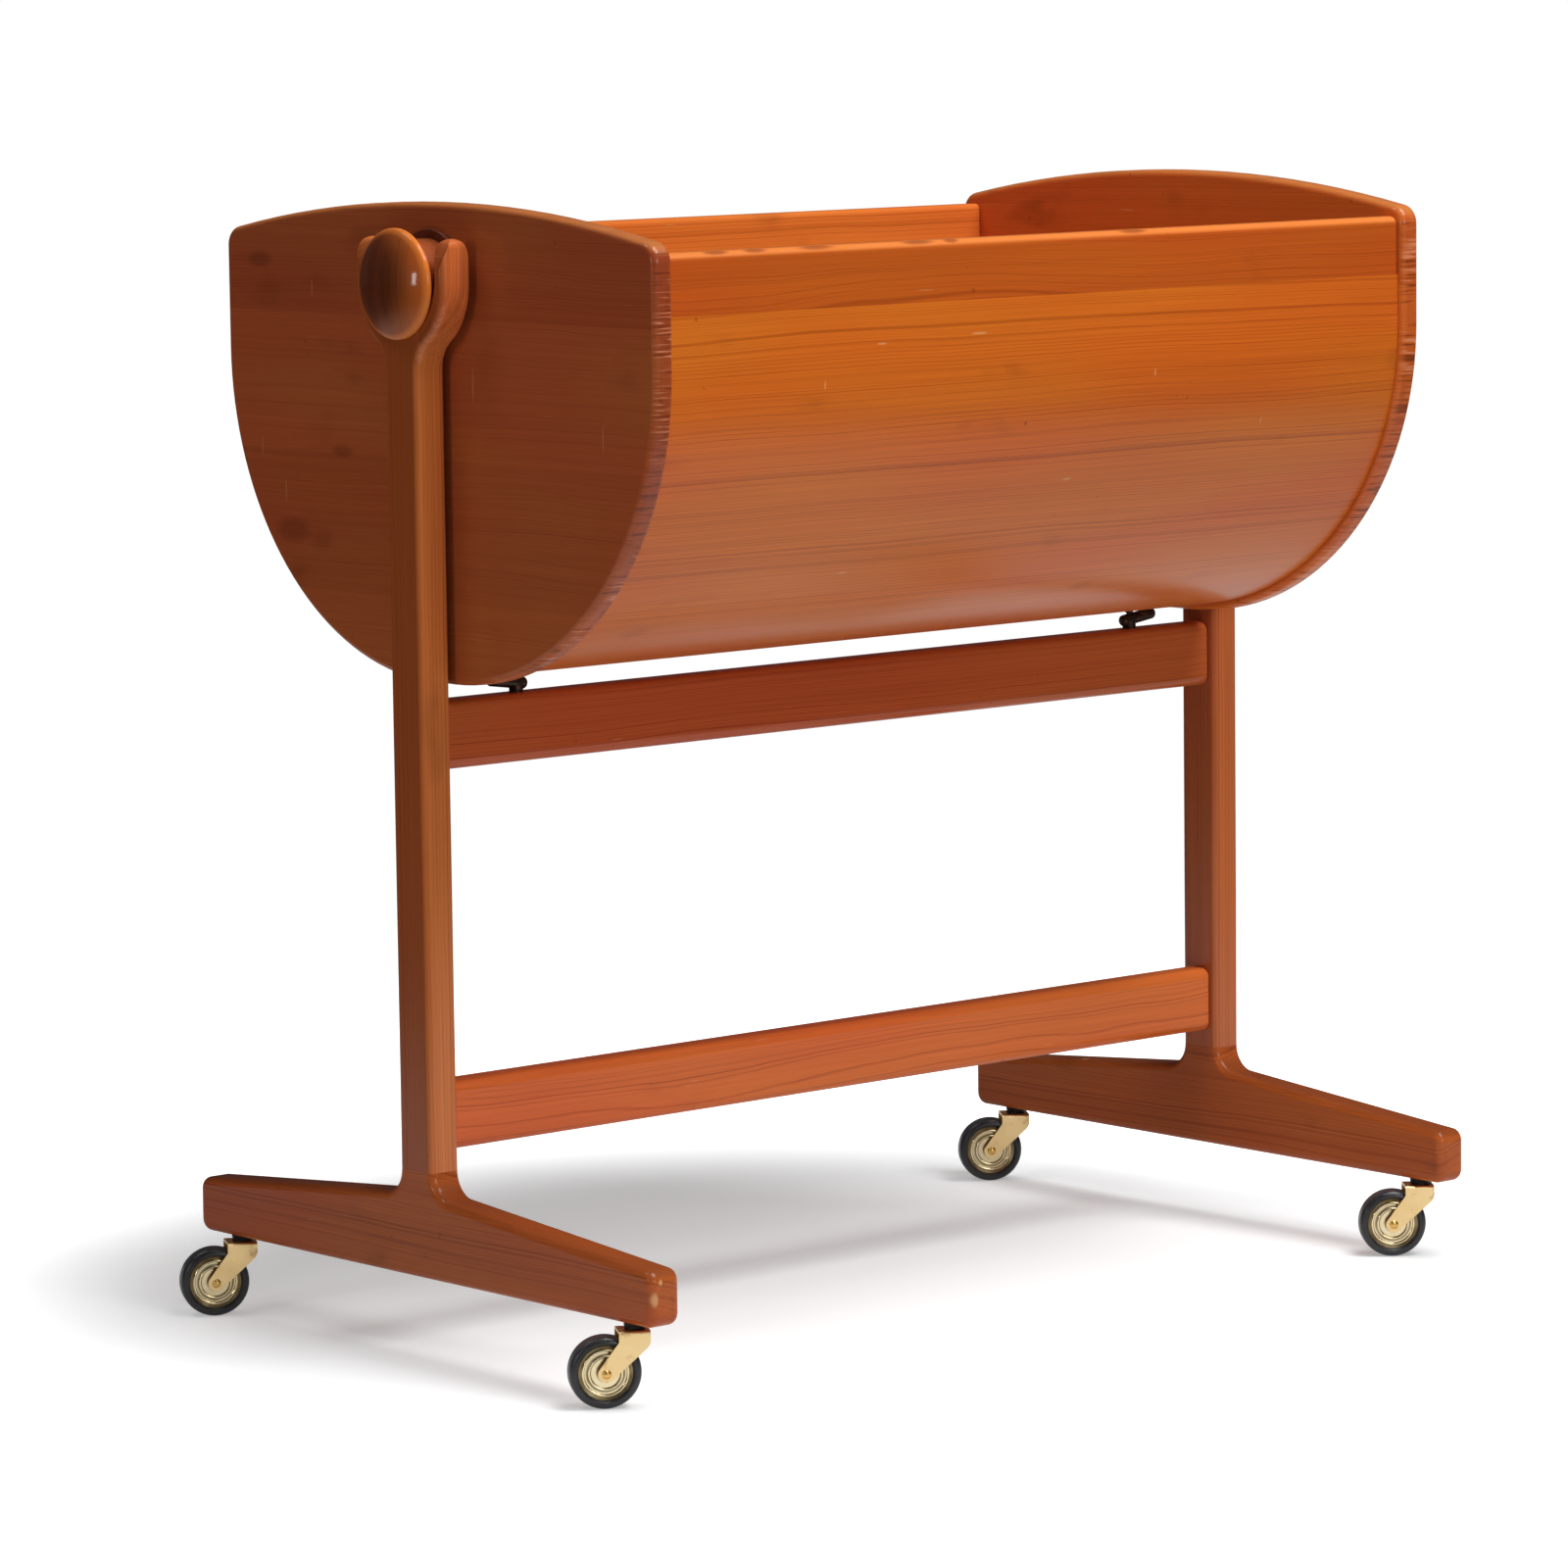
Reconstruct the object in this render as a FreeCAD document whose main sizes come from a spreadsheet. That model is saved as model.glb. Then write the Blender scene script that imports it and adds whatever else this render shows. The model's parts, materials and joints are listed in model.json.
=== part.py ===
import FreeCAD, Part
import math
import operator
import os
import types
import Sketcher

# Rocking cradle of bent and solid pine, hung in the fork cups of two posts.
# The posts stand on long feet with four swivel casters and are tied by two stretchers.
# Millimetres. X runs along the cradle, Y to its back, Z up from the floor.
# The origin is on the floor under the middle of the stand.

SIZES = [
    # Posts
    ("post_gap", 4, "gap between an end panel and the post beside it"),
    ("post_thickness", 26, "thickness of posts and feet, along the cradle"),
    ("post_width", 37, "width of a post, across the cradle"),
    ("post_arris", 5.8, "rounding of the long edges of posts and feet"),
    ("pivot_height", 755, "height of the rocking axis"),
    ("cup_slack", 6.5, "how much wider the fork cup is than the shaft, in radius"),
    ("cup_arm", 12.5, "width of the fork's arms"),
    ("arm_rise", 19.05, "straight height of the fork's arms above the cup's centre"),
    ("fork_straight", 6.7, "straight height of the fork's sides below the cup's centre"),
    ("tip_side_radius", 40, "radius of the arm tips' faces, seen across the cradle"),
    ("tip_crown_radius", 8, "radius of the arm tips' crowns, seen across the cradle"),
    ("neck_round", 23, "hollow between the post's side and the cup"),
    # Feet
    ("foot_length", 512.5, "length of a foot, across the cradle"),
    ("foot_root_depth", 59.7, "depth of the foot at the post's side"),
    ("foot_end_depth", 39.1, "depth of the foot at its ends"),
    ("foot_root_round", 18, "hollow between foot and post"),
    ("foot_end_round", 9, "rounding of the foot's end corners"),
    # Stretchers
    ("stretcher_thickness", 25, "thickness of both stretchers"),
    ("stretcher_depth", 48.5, "height of the section of both stretchers"),
    ("stretcher_round", 7, "rounding of the long edges"),
    ("stretcher_end_round", 2.5, "easing of the ends at the posts"),
    ("panel_swing_room", 9.4, "gap between the upper stretcher and the swinging panels"),
    ("lower_stretcher_rise", 37.35, "height of the lower stretcher's middle above the feet's joints"),
    # Dowels of the stand
    ("dowel_radius", 5, "radius of the dowels in the stand"),
    ("dowel_fit", 0.05, "radial room of a glued dowel"),
    ("dowel_end_room", 0.5, "room behind the end of a dowel"),
    ("dowel_in_post", 16, "depth of a stretcher's dowel in the post"),
    ("dowel_in_stretcher", 24, "depth of the same dowel in the stretcher"),
    ("stretcher_dowel_pitch", 24, "distance between the two dowels of a stretcher's end"),
    ("foot_dowel_pitch", 17, "distance between the two dowels under a post"),
    ("foot_dowel_up", 16, "depth of these dowels in the post"),
    ("foot_dowel_down", 26, "depth of these dowels in the foot"),
    # End panels
    ("trough_length", 700, "distance between the inner faces of the end panels"),
    ("panel_thickness", 17, "thickness of an end panel"),
    ("panel_round", 226, "radius of the panel's two lower corners"),
    ("panel_flat", 26, "flat between the two lower corners"),
    ("panel_spring_drop", 53.5, "height of the rocking axis above the centres of these corners"),
    ("panel_side_rise", 31, "height of the ends of the panel's top arch above the axis"),
    ("panel_crown", 24, "rise of the panel's top arch"),
    ("panel_top_round", 14, "rounding of the panel's top corners"),
    ("panel_arris", 5, "rounding of the panel's edges"),
    # Shell and rails
    ("shell_inset", 5.5, "distance from the panel's rim to the shell's outer face"),
    ("shell_thickness", 6, "thickness of the bent shell"),
    ("groove_depth", 5, "depth of the groove for the shell in the end panels"),
    ("groove_fit", 0.1, "room around the shell in its groove"),
    ("rail_rise", 25, "height of the rails' top above the rocking axis"),
    ("rail_thickness", 16, "thickness of a rail"),
    ("rail_band", 42.5, "height of the rail's band above the shell"),
    ("rail_tongue", 12, "depth of the rail's tongue behind the shell"),
    ("rail_outer_round", 6, "rounding of the rail's outer top edge"),
    ("rail_inner_round", 4, "rounding of the rail's inner top edge"),
    ("rail_end_round", 2.5, "easing of the rail's ends at the panels"),
    ("rail_dowel_radius", 4, "radius of the dowels in the rail ends"),
    ("rail_dowel_pitch", 20, "distance between the two dowels of a rail's end"),
    ("rail_dowel_in_panel", 11, "depth of these dowels in the panel"),
    ("rail_dowel_in_rail", 20, "depth of these dowels in the rail"),
    # Shafts, collars and knobs
    ("shaft_radius", 30.5, "radius of the shaft that lies in the fork cup"),
    ("shaft_room", 0.3, "gap between the shaft and the bottom of the cup"),
    ("spigot_radius", 15, "radius of the shaft's spigot in the end panel"),
    ("spigot_depth", 12, "depth of this spigot in the end panel"),
    ("spigot_fit", 0.05, "radial room of both spigots"),
    ("collar_radius", 37.3, "radius of the collar disc beside the end panel"),
    ("collar_round", 1.2, "rounding of the collar's rim"),
    ("collar_room", 0.5, "gap between the collar and the post"),
    ("knob_room", 0.5, "gap between the knob and the post"),
    ("knob_radius", 38.6, "radius of the knob"),
    ("knob_rim_straight", 1, "straight height of the knob's rim between its roundings"),
    ("knob_dome_radius", 66, "radius of the knob's domed face"),
    ("knob_rim_round", 3, "rounding between the dome and the knob's rim"),
    ("knob_back_round", 1, "rounding of the knob's back edge"),
    ("knob_spigot_radius", 11, "radius of the shaft's spigot in the knob"),
    ("knob_spigot_length", 9, "length of this spigot"),
    # Stop levers on the upper stretcher
    ("lever_inset", 51, "distance of a lever's screw from the end panel's inner face"),
    ("lever_radius", 4.4, "radius of the lever's rod"),
    ("lever_length", 34, "length of the rod"),
    ("lever_short_end", 8.5, "length of the rod on the near side of its screw"),
    ("lever_tilt", 8, "slope of the rod, degrees"),
    ("lever_end_round", 3, "rounding of the rod's ends"),
    ("lever_hub_radius", 5, "radius of the hub under the rod and of its collar"),
    ("lever_collar_height", 1.35, "height of the collar on the stretcher"),
    ("lever_room", 0.2, "gap between hub and collar"),
    ("screw_radius", 2, "radius of the screw that the lever turns on"),
    ("screw_fit", 0.1, "radial room of the screw in the lever"),
    ("screw_depth", 20, "depth of the screw in the stretcher"),
    ("screw_head_radius", 3, "radius of the screw's head"),
    ("screw_head_height", 1.7, "height of the screw's head"),
    # Casters
    ("caster_inset", 33.65, "distance of a swivel axis from the end of its foot"),
    ("wheel_radius", 25, "radius of a wheel over its tyre"),
    ("caster_trail", 21.2, "distance from the swivel axis to the wheel's axis, from above"),
    ("left_back_turn", 151.8, "direction of the trail of the left back caster, degrees"),
    ("left_front_turn", 148.5, "direction of the trail of the left front caster, degrees"),
    ("right_back_turn", 145.3, "direction of the trail of the right back caster, degrees"),
    ("right_front_turn", 141.9, "direction of the trail of the right front caster, degrees"),
    ("socket_radius", 5.5, "outer radius of the sleeve in the foot"),
    ("socket_depth", 32, "length of the sleeve in the foot"),
    ("socket_collar_radius", 7.5, "radius of the sleeve's collar under the foot"),
    ("socket_collar_height", 2.2, "height of this collar"),
    ("pin_radius", 4, "radius of the swivel pin"),
    ("pin_fit", 0.06, "radial room of the pin in its sleeve"),
    ("pin_end_room", 3, "room above the pin in its sleeve"),
    ("pin_collar_radius", 7.2, "radius of the pin's collar on the fork"),
    ("pin_collar_height", 2.2, "height of this collar"),
    ("pin_head_radius", 5.2, "radius of the pin's riveted head under the fork's top"),
    ("pin_head_height", 1.4, "height of this head"),
    ("swivel_room", 0.3, "gap between the two collars"),
    ("wheel_headroom", 2.4, "gap between the wheel and the fork's top"),
    ("fork_sheet", 1.6, "thickness of the fork's sheet"),
    ("fork_front", 9.3, "reach of the fork's top ahead of the swivel axis"),
    ("fork_rear", 12.4, "reach of the fork's top towards the wheel"),
    ("fork_front_skirt", 10, "depth of the cheek's front edge"),
    ("fork_rear_skirt", 7.5, "depth of the cheek's rear edge"),
    ("fork_front_round", 8, "rounding of the cheek's front corner"),
    ("fork_rear_round", 3, "easing of the cheek's rear corner"),
    ("fork_fold_round", 2, "rounding of the fold between top and cheeks"),
    ("fork_eye_radius", 5.8, "radius of the cheek around the axle"),
    ("axle_radius", 2, "radius of the axle"),
    ("axle_fit", 0.06, "radial room of the axle"),
    ("axle_head_radius", 3.3, "radius of the axle's domed heads"),
    ("axle_head_height", 1.9, "height of these heads"),
    ("tyre_width", 17.5, "width of the tyre"),
    ("tyre_side_room", 1, "gap between the tyre and a cheek"),
    ("tyre_shoulder", 4.5, "rounding between tread and side"),
    ("tyre_flat", 0.1, "height of the flat on the tyre's side"),
    ("tyre_bead", 1.8, "height of the slope between the rim's lip and the tyre's side"),
    ("hub_side_room", 0.3, "gap between the hub and a cheek"),
    ("hub_radius", 4.5, "radius of the wheel's hub"),
    ("rim_face", 5.8, "distance of the pressed disc's face from the wheel's middle"),
    ("rim_lip", 6.8, "distance of the rim's lip from the wheel's middle"),
    ("ring_inset", 7.3, "distance of the disc's inner ring from the rim"),
    ("ring_bead", 1.3, "half width of the inner ring"),
    ("ridge_inset", 3, "distance of the outer ridge from the rim"),
    ("ridge_bead", 1.1, "half width of the outer ridge"),
    # Other
    ("match_room", 0.01, "how near an edge lies to a level that it counts as on"),
]

FULL_TURN = 360
SQUARE = 90
AHEAD = 1
LEFT_TURN = 1
RIGHT_TURN = -1
LARGEST_ROUND_SHARE = 0.47  # of the wall that a rounding lies on

doc = FreeCAD.newDocument("cradle")
sheet = doc.addObject("Spreadsheet::Sheet", "sizes")
for row, (alias, number, meaning) in enumerate(SIZES, start=1):
    sheet.set("A%d" % row, meaning)
    sheet.set("B%d" % row, str(number))
    sheet.setAlias("B%d" % row, alias)
doc.recompute()


class Size:
    """A value of the sheet, or one worked out from it, with the formula that binds it."""

    def __init__(self, value, formula):
        self.value = value
        self.formula = formula

    def __add__(self, other):
        return joined(self, "+", other)

    def __sub__(self, other):
        return joined(self, "-", other)

    def __rsub__(self, other):
        return joined(other, "-", self)

    def __mul__(self, other):
        return joined(self, "*", other)

    def __rmul__(self, other):
        return joined(other, "*", self)

    def __truediv__(self, other):
        return joined(self, "/", other)

    def __neg__(self):
        return joined(0, "-", self)


ACTIONS = {"+": operator.add, "-": operator.sub, "*": operator.mul, "/": operator.truediv}


def as_size(item):
    return item if isinstance(item, Size) else Size(item, str(item))


def joined(left, sign, right):
    left = as_size(left)
    right = as_size(right)
    value = ACTIONS[sign](left.value, right.value)
    return Size(value, "(%s %s %s)" % (left.formula, sign, right.formula))


def root(square):
    return Size(math.sqrt(square.value), "sqrt(%s)" % square.formula)


def sine(angle):
    return Size(math.sin(math.radians(angle.value)), "sin(%s)" % angle.formula)


def cosine(angle):
    return Size(math.cos(math.radians(angle.value)), "cos(%s)" % angle.formula)


def limited(rounding, wall):
    """The rounding, or what its wall can take where that is less."""
    most = wall * LARGEST_ROUND_SHARE
    return Size(min(rounding.value, most.value), "min(%s; %s)" % (rounding.formula, most.formula))


size = types.SimpleNamespace()
for alias, number, meaning in SIZES:
    setattr(size, alias, Size(float(sheet.get(alias)), "sizes." + alias))

# Levels and faces that several pieces share
panel_inner = size.trough_length / 2
panel_outer = panel_inner + size.panel_thickness
panel_spring = size.pivot_height - size.panel_spring_drop
panel_corner = size.panel_flat / 2
panel_side = panel_corner + size.panel_round
panel_swing = size.panel_round + root(size.panel_spring_drop * size.panel_spring_drop
                                      + panel_corner * panel_corner)
shell_round = size.panel_round - size.shell_inset
rail_outer = panel_corner + shell_round
rail_inner = rail_outer - size.rail_thickness
rail_top = size.pivot_height + size.rail_rise
rail_shoulder = rail_top - size.rail_band
rail_dowel_places = [
    (rail_outer - size.rail_thickness / 2, rail_top - size.rail_band / 2 + size.rail_dowel_pitch / 2),
    (rail_outer - size.rail_thickness / 2, rail_top - size.rail_band / 2 - size.rail_dowel_pitch / 2),
]

post_inner = panel_outer + size.post_gap
post_outer = post_inner + size.post_thickness
post_middle = post_inner + size.post_thickness / 2
post_side = size.post_width / 2
post_rounding = limited(size.post_arris, size.cup_arm)
cup_radius = size.shaft_radius + size.cup_slack
cup_height = size.pivot_height - size.shaft_radius - size.shaft_room + cup_radius
collar_thickness = size.post_gap - size.collar_room
knob_back = post_outer + size.knob_room - panel_outer

fork_top = size.wheel_radius * 2 + size.wheel_headroom + size.fork_sheet
pin_collar_top = fork_top + size.pin_collar_height
socket_bottom = pin_collar_top + size.swivel_room
foot_underside = socket_bottom + size.socket_collar_height
fork_gap = size.tyre_width / 2 + size.tyre_side_room
fork_side = fork_gap + size.fork_sheet
caster_place = size.foot_length / 2 - size.caster_inset
rim_radius = size.wheel_radius - size.tyre_shoulder - size.tyre_flat - size.tyre_bead

foot_end_top = foot_underside + size.foot_end_depth
foot_run = size.foot_length / 2 - post_side
foot_fall = size.foot_root_depth - size.foot_end_depth
foot_slope_length = root(foot_run * foot_run + foot_fall * foot_fall)
joint_height = (foot_underside + size.foot_root_depth
                + size.foot_root_round * (foot_slope_length - foot_fall) / foot_run)
stretcher_length = post_inner * 2
stretcher_top = size.pivot_height - panel_swing - size.panel_swing_room
upper_height = stretcher_top - size.stretcher_depth / 2
lower_height = joint_height + size.lower_stretcher_rise
stretcher_dowel_heights = [
    upper_height + size.stretcher_dowel_pitch / 2,
    upper_height - size.stretcher_dowel_pitch / 2,
    lower_height + size.stretcher_dowel_pitch / 2,
    lower_height - size.stretcher_dowel_pitch / 2,
]
foot_dowel_places = [size.foot_dowel_pitch / 2, -size.foot_dowel_pitch / 2]
dowel_hole_radius = size.dowel_radius + size.dowel_fit
lever_place = panel_inner - size.lever_inset

nodes = []


def bind(item, name, value):
    item.setExpression(name, as_size(value).formula)


def place(item, x=0, y=0, z=0, turn=0):
    """Turn the sub-part about Z and put its own origin at x, y, z."""
    item.Placement = FreeCAD.Placement(FreeCAD.Vector(), FreeCAD.Rotation(FreeCAD.Vector(0, 0, 1), SQUARE))
    bind(item, "Placement.Rotation.Angle", turn)
    bind(item, "Placement.Base.x", x)
    bind(item, "Placement.Base.y", y)
    bind(item, "Placement.Base.z", z)


def new_body(label):
    body = doc.addObject("PartDesign::Body", label)
    body.Label = label
    nodes.append(body)
    return body


def new_sketch(body, name, role, lift=0):
    """Sketch on one of the body's origin planes, lifted along the plane's normal."""
    sketch = body.newObject("Sketcher::SketchObject", body.Name + "_" + name)
    plane = next(item for item in body.Origin.OriginFeatures if item.Role == role)
    sketch.AttachmentSupport = [(plane, "")]
    sketch.MapMode = "FlatFace"
    bind(sketch, "AttachmentOffset.Base.z", lift)
    return sketch


def fix(sketch, kind, *rule):
    """Add a measured constraint whose last item is the size that it is bound to."""
    length = as_size(rule[-1])
    index = sketch.addConstraint(Sketcher.Constraint(kind, *rule[:-1], length.value))
    sketch.setExpression("Constraints[%d]" % index, length.formula)


def fix_point(sketch, piece, corner, x, y):
    fix(sketch, "DistanceX", -1, 1, piece, corner, x)
    fix(sketch, "DistanceY", -1, 1, piece, corner, y)


def point(corner):
    return FreeCAD.Vector(as_size(corner[0]).value, as_size(corner[1]).value, 0)


def arc(start, end, radius, turn):
    """Arc of less than half a circle that turns to the left or to the right."""
    first = point(start)
    last = point(end)
    chord = last - first
    rise = math.sqrt(radius.value ** 2 - (chord.Length / 2) ** 2)
    aside = FreeCAD.Vector(-chord.y, chord.x, 0).normalize()
    centre = (first + last) / 2 + aside * rise * turn
    if turn == RIGHT_TURN:
        first, last = last, first
    begin = math.atan2(first.y - centre.y, first.x - centre.x)
    finish = math.atan2(last.y - centre.y, last.x - centre.x)
    if finish < begin:
        finish += 2 * math.pi
    circle = Part.Circle(centre, FreeCAD.Vector(0, 0, 1), radius.value)
    return Part.ArcOfCircle(circle, begin, finish)


def draw_outline(sketch, start, *steps):
    """Closed outline. A step is a corner (x, y), or (x, y, radius, turn) for an arc to it."""
    here = start
    joints = []
    for step in steps:
        there = step[:2]
        ends = (1, 2)
        if len(step) == len(there):
            piece = sketch.addGeometry(Part.LineSegment(point(here), point(there)), False)
        else:
            radius, turn = step[len(there):]
            piece = sketch.addGeometry(arc(here, there, radius, turn), False)
            fix(sketch, "Radius", piece, radius)
            ends = (1, 2) if turn == LEFT_TURN else (2, 1)
        fix_point(sketch, piece, ends[1], *there)
        joints.append((piece, ends))
        here = there
    for (piece, ends), (after, after_ends) in zip(joints, joints[1:] + joints[:1]):
        sketch.addConstraint(Sketcher.Constraint("Coincident", piece, ends[1], after, after_ends[0]))


def draw_circles(sketch, radius, centres):
    for x, y in centres:
        circle = Part.Circle(point((x, y)), FreeCAD.Vector(0, 0, 1), radius.value)
        piece = sketch.addGeometry(circle, False)
        fix(sketch, "Radius", piece, radius)
        fix_point(sketch, piece, 3, x, y)


def pad(body, sketch, length):
    """Solid of the sketch, half of the length to each side."""
    feature = body.newObject("PartDesign::Pad", sketch.Name + "_pad")
    feature.Profile = sketch
    feature.SideType = "Symmetric"
    bind(feature, "Length", length)
    doc.recompute()
    return feature


def pocket(body, sketch, depth, along_normal=False):
    """Cut the sketch into the body; depth None cuts through both ways."""
    before = body.Shape.Volume
    feature = body.newObject("PartDesign::Pocket", sketch.Name + "_pocket")
    feature.Profile = sketch
    feature.Reversed = along_normal
    if depth is None:
        feature.Type = "ThroughAll"
        feature.SideType = "Symmetric"
    else:
        bind(feature, "Length", depth)
    doc.recompute()
    if body.Shape.Volume >= before:
        raise RuntimeError(feature.Name + " cuts nothing")


def drill(body, name, role, lift, radius, depth, centres, along_normal=False):
    sketch = new_sketch(body, name, role, lift)
    draw_circles(sketch, radius, centres)
    pocket(body, sketch, depth, along_normal)


def turned(label, role, axis, start, *steps):
    """Body turned about an axis of its sketch."""
    body = new_body(label)
    sketch = new_sketch(body, "profile", role)
    draw_outline(sketch, start, *steps)
    feature = body.newObject("PartDesign::Revolution", label + "_turning")
    feature.Profile = sketch
    feature.ReferenceAxis = (sketch, [axis])
    feature.Angle = FULL_TURN
    doc.recompute()
    return body


def round_edges(body, name, radius, wanted):
    """Round the edges of the body that the test picks."""
    base = body.Tip
    picked = ["Edge%d" % n for n, edge in enumerate(base.Shape.Edges, start=1) if wanted(edge)]
    feature = body.newObject("PartDesign::Fillet", body.Name + "_" + name)
    feature.Base = (base, picked)
    bind(feature, "Radius", radius)
    doc.recompute()


def lies_on(edge, axis, level):
    """True where the whole edge lies on a level of one axis."""
    low = getattr(edge.BoundBox, axis + "Min")
    high = getattr(edge.BoundBox, axis + "Max")
    level = as_size(level).value
    room = size.match_room.value
    return abs(low - level) < room and abs(high - level) < room


def lies_on_either(edge, axis, level):
    return lies_on(edge, axis, level) or lies_on(edge, axis, -level)


def tangent_point(corner, centre, radius, turn):
    """Where a line from the corner touches the circle, on its left or right side."""
    away_x = corner[0] - centre[0]
    away_y = corner[1] - centre[1]
    square = away_x * away_x + away_y * away_y
    along = radius * radius / square
    across = radius * root(square - radius * radius) / square * turn
    return (centre[0] + away_x * along - away_y * across,
            centre[1] + away_y * along + away_x * across)


def mirrored(corner):
    return (-corner[0], corner[1])


def make_post(side, turn):
    """Upright with an open cup; its inner face looks along its own X."""
    body = new_body(side + "_post")
    sketch = new_sketch(body, "outline", "YZ_Plane")
    outer = cup_radius + size.cup_arm
    reach = outer + size.neck_round
    neck = post_side + size.neck_round
    neck_drop = root(reach * reach - neck * neck)
    bulge_height = cup_height - size.fork_straight
    shoulder = (neck * outer / reach, bulge_height - neck_drop * outer / reach)
    neck_low = (post_side, bulge_height - neck_drop)
    tip_round = size.cup_arm / 2
    tip_low = cup_height + size.arm_rise
    tip_top = tip_low + tip_round
    tip = (cup_radius + tip_round, tip_top)
    draw_outline(
        sketch,
        (-post_side, joint_height),
        (post_side, joint_height),
        neck_low,
        (*shoulder, size.neck_round, RIGHT_TURN),
        (outer, bulge_height, outer, LEFT_TURN),
        (outer, tip_low),
        (*tip, tip_round, LEFT_TURN),
        (cup_radius, tip_low, tip_round, LEFT_TURN),
        (cup_radius, cup_height),
        (0, cup_height - cup_radius, cup_radius, RIGHT_TURN),
        (-cup_radius, cup_height, cup_radius, RIGHT_TURN),
        (-cup_radius, tip_low),
        (*mirrored(tip), tip_round, LEFT_TURN),
        (-outer, tip_low, tip_round, LEFT_TURN),
        (-outer, bulge_height),
        (*mirrored(shoulder), outer, LEFT_TURN),
        (*mirrored(neck_low), size.neck_round, RIGHT_TURN),
        (-post_side, joint_height),
    )
    pad(body, sketch, size.post_thickness)
    face = size.post_thickness / 2
    round_edges(body, "arris", post_rounding,
                lambda edge: lies_on_either(edge, "X", face) and not lies_on(edge, "Z", joint_height))
    arch = new_sketch(body, "tip_arch", "XZ_Plane")
    inset = size.tip_side_radius - face
    between = size.tip_side_radius - size.tip_crown_radius
    crown_rise = root(between * between - inset * inset)
    arch_low = tip_top - size.tip_crown_radius - crown_rise
    reach_share = size.tip_side_radius / between
    crown_edge = (inset - inset * reach_share, arch_low + crown_rise * reach_share)
    draw_outline(
        arch,
        (-face, arch_low),
        (*crown_edge, size.tip_side_radius, RIGHT_TURN),
        (*mirrored(crown_edge), size.tip_crown_radius, RIGHT_TURN),
        (face, arch_low, size.tip_side_radius, RIGHT_TURN),
        (face, tip_top + face),
        (-face, tip_top + face),
        (-face, arch_low),
    )
    pocket(body, arch, None)
    drill(body, "stretcher_holes", "YZ_Plane", face, dowel_hole_radius,
          size.dowel_in_post + size.dowel_end_room,
          [(0, height) for height in stretcher_dowel_heights])
    drill(body, "foot_holes", "XY_Plane", joint_height, dowel_hole_radius,
          size.foot_dowel_up + size.dowel_end_room,
          [(0, y) for y in foot_dowel_places], along_normal=True)
    place(body, x=-post_middle * turn, turn=SQUARE - SQUARE * turn)


def make_foot(side, turn):
    """Long foot whose root flares up to the post."""
    body = new_body(side + "_foot")
    sketch = new_sketch(body, "outline", "YZ_Plane")
    end = size.foot_length / 2
    hollow = post_side + size.foot_root_round
    root_end = (hollow - size.foot_root_round * foot_fall / foot_slope_length,
                joint_height - size.foot_root_round * foot_run / foot_slope_length)
    draw_outline(
        sketch,
        (-end, foot_underside),
        (end, foot_underside),
        (end, foot_end_top),
        root_end,
        (post_side, joint_height, size.foot_root_round, RIGHT_TURN),
        (-post_side, joint_height),
        (*mirrored(root_end), size.foot_root_round, RIGHT_TURN),
        (-end, foot_end_top),
        (-end, foot_underside),
    )
    pad(body, sketch, size.post_thickness)
    round_edges(body, "end_corners", size.foot_end_round,
                lambda edge: lies_on_either(edge, "Y", end) and
                (lies_on(edge, "Z", foot_underside) or lies_on(edge, "Z", foot_end_top)))
    face = size.post_thickness / 2
    round_edges(body, "arris", post_rounding,
                lambda edge: lies_on_either(edge, "X", face) and not lies_on(edge, "Z", joint_height))
    drill(body, "post_holes", "XY_Plane", joint_height, dowel_hole_radius,
          size.foot_dowel_down + size.dowel_end_room, [(0, y) for y in foot_dowel_places])
    drill(body, "socket_holes", "XY_Plane", foot_underside, size.socket_radius + size.dowel_fit,
          size.socket_depth + size.dowel_end_room,
          [(0, caster_place), (0, -caster_place)], along_normal=True)
    place(body, x=-post_middle * turn, turn=SQUARE - SQUARE * turn)


def make_stretcher(label, height, screw_places):
    """Rail between the posts with eased ends."""
    body = new_body(label)
    sketch = new_sketch(body, "section", "YZ_Plane")
    side = size.stretcher_thickness / 2
    low = height - size.stretcher_depth / 2
    high = height + size.stretcher_depth / 2
    draw_outline(sketch, (-side, low), (side, low), (side, high), (-side, high), (-side, low))
    pad(body, sketch, stretcher_length)
    round_edges(body, "long_edges", size.stretcher_round,
                lambda edge: lies_on_either(edge, "Y", side) and
                (lies_on(edge, "Z", low) or lies_on(edge, "Z", high)))
    round_edges(body, "ends", size.stretcher_end_round,
                lambda edge: lies_on_either(edge, "X", post_inner))
    centres = [(0, height + size.stretcher_dowel_pitch / 2), (0, height - size.stretcher_dowel_pitch / 2)]
    depth = size.dowel_in_stretcher + size.dowel_end_room
    drill(body, "right_holes", "YZ_Plane", post_inner, dowel_hole_radius, depth, centres)
    drill(body, "left_holes", "YZ_Plane", -post_inner, dowel_hole_radius, depth, centres, along_normal=True)
    if screw_places:
        drill(body, "screw_holes", "XY_Plane", high, size.screw_radius + size.dowel_fit,
              size.screw_depth + size.dowel_end_room, screw_places)
    place(body)


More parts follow.
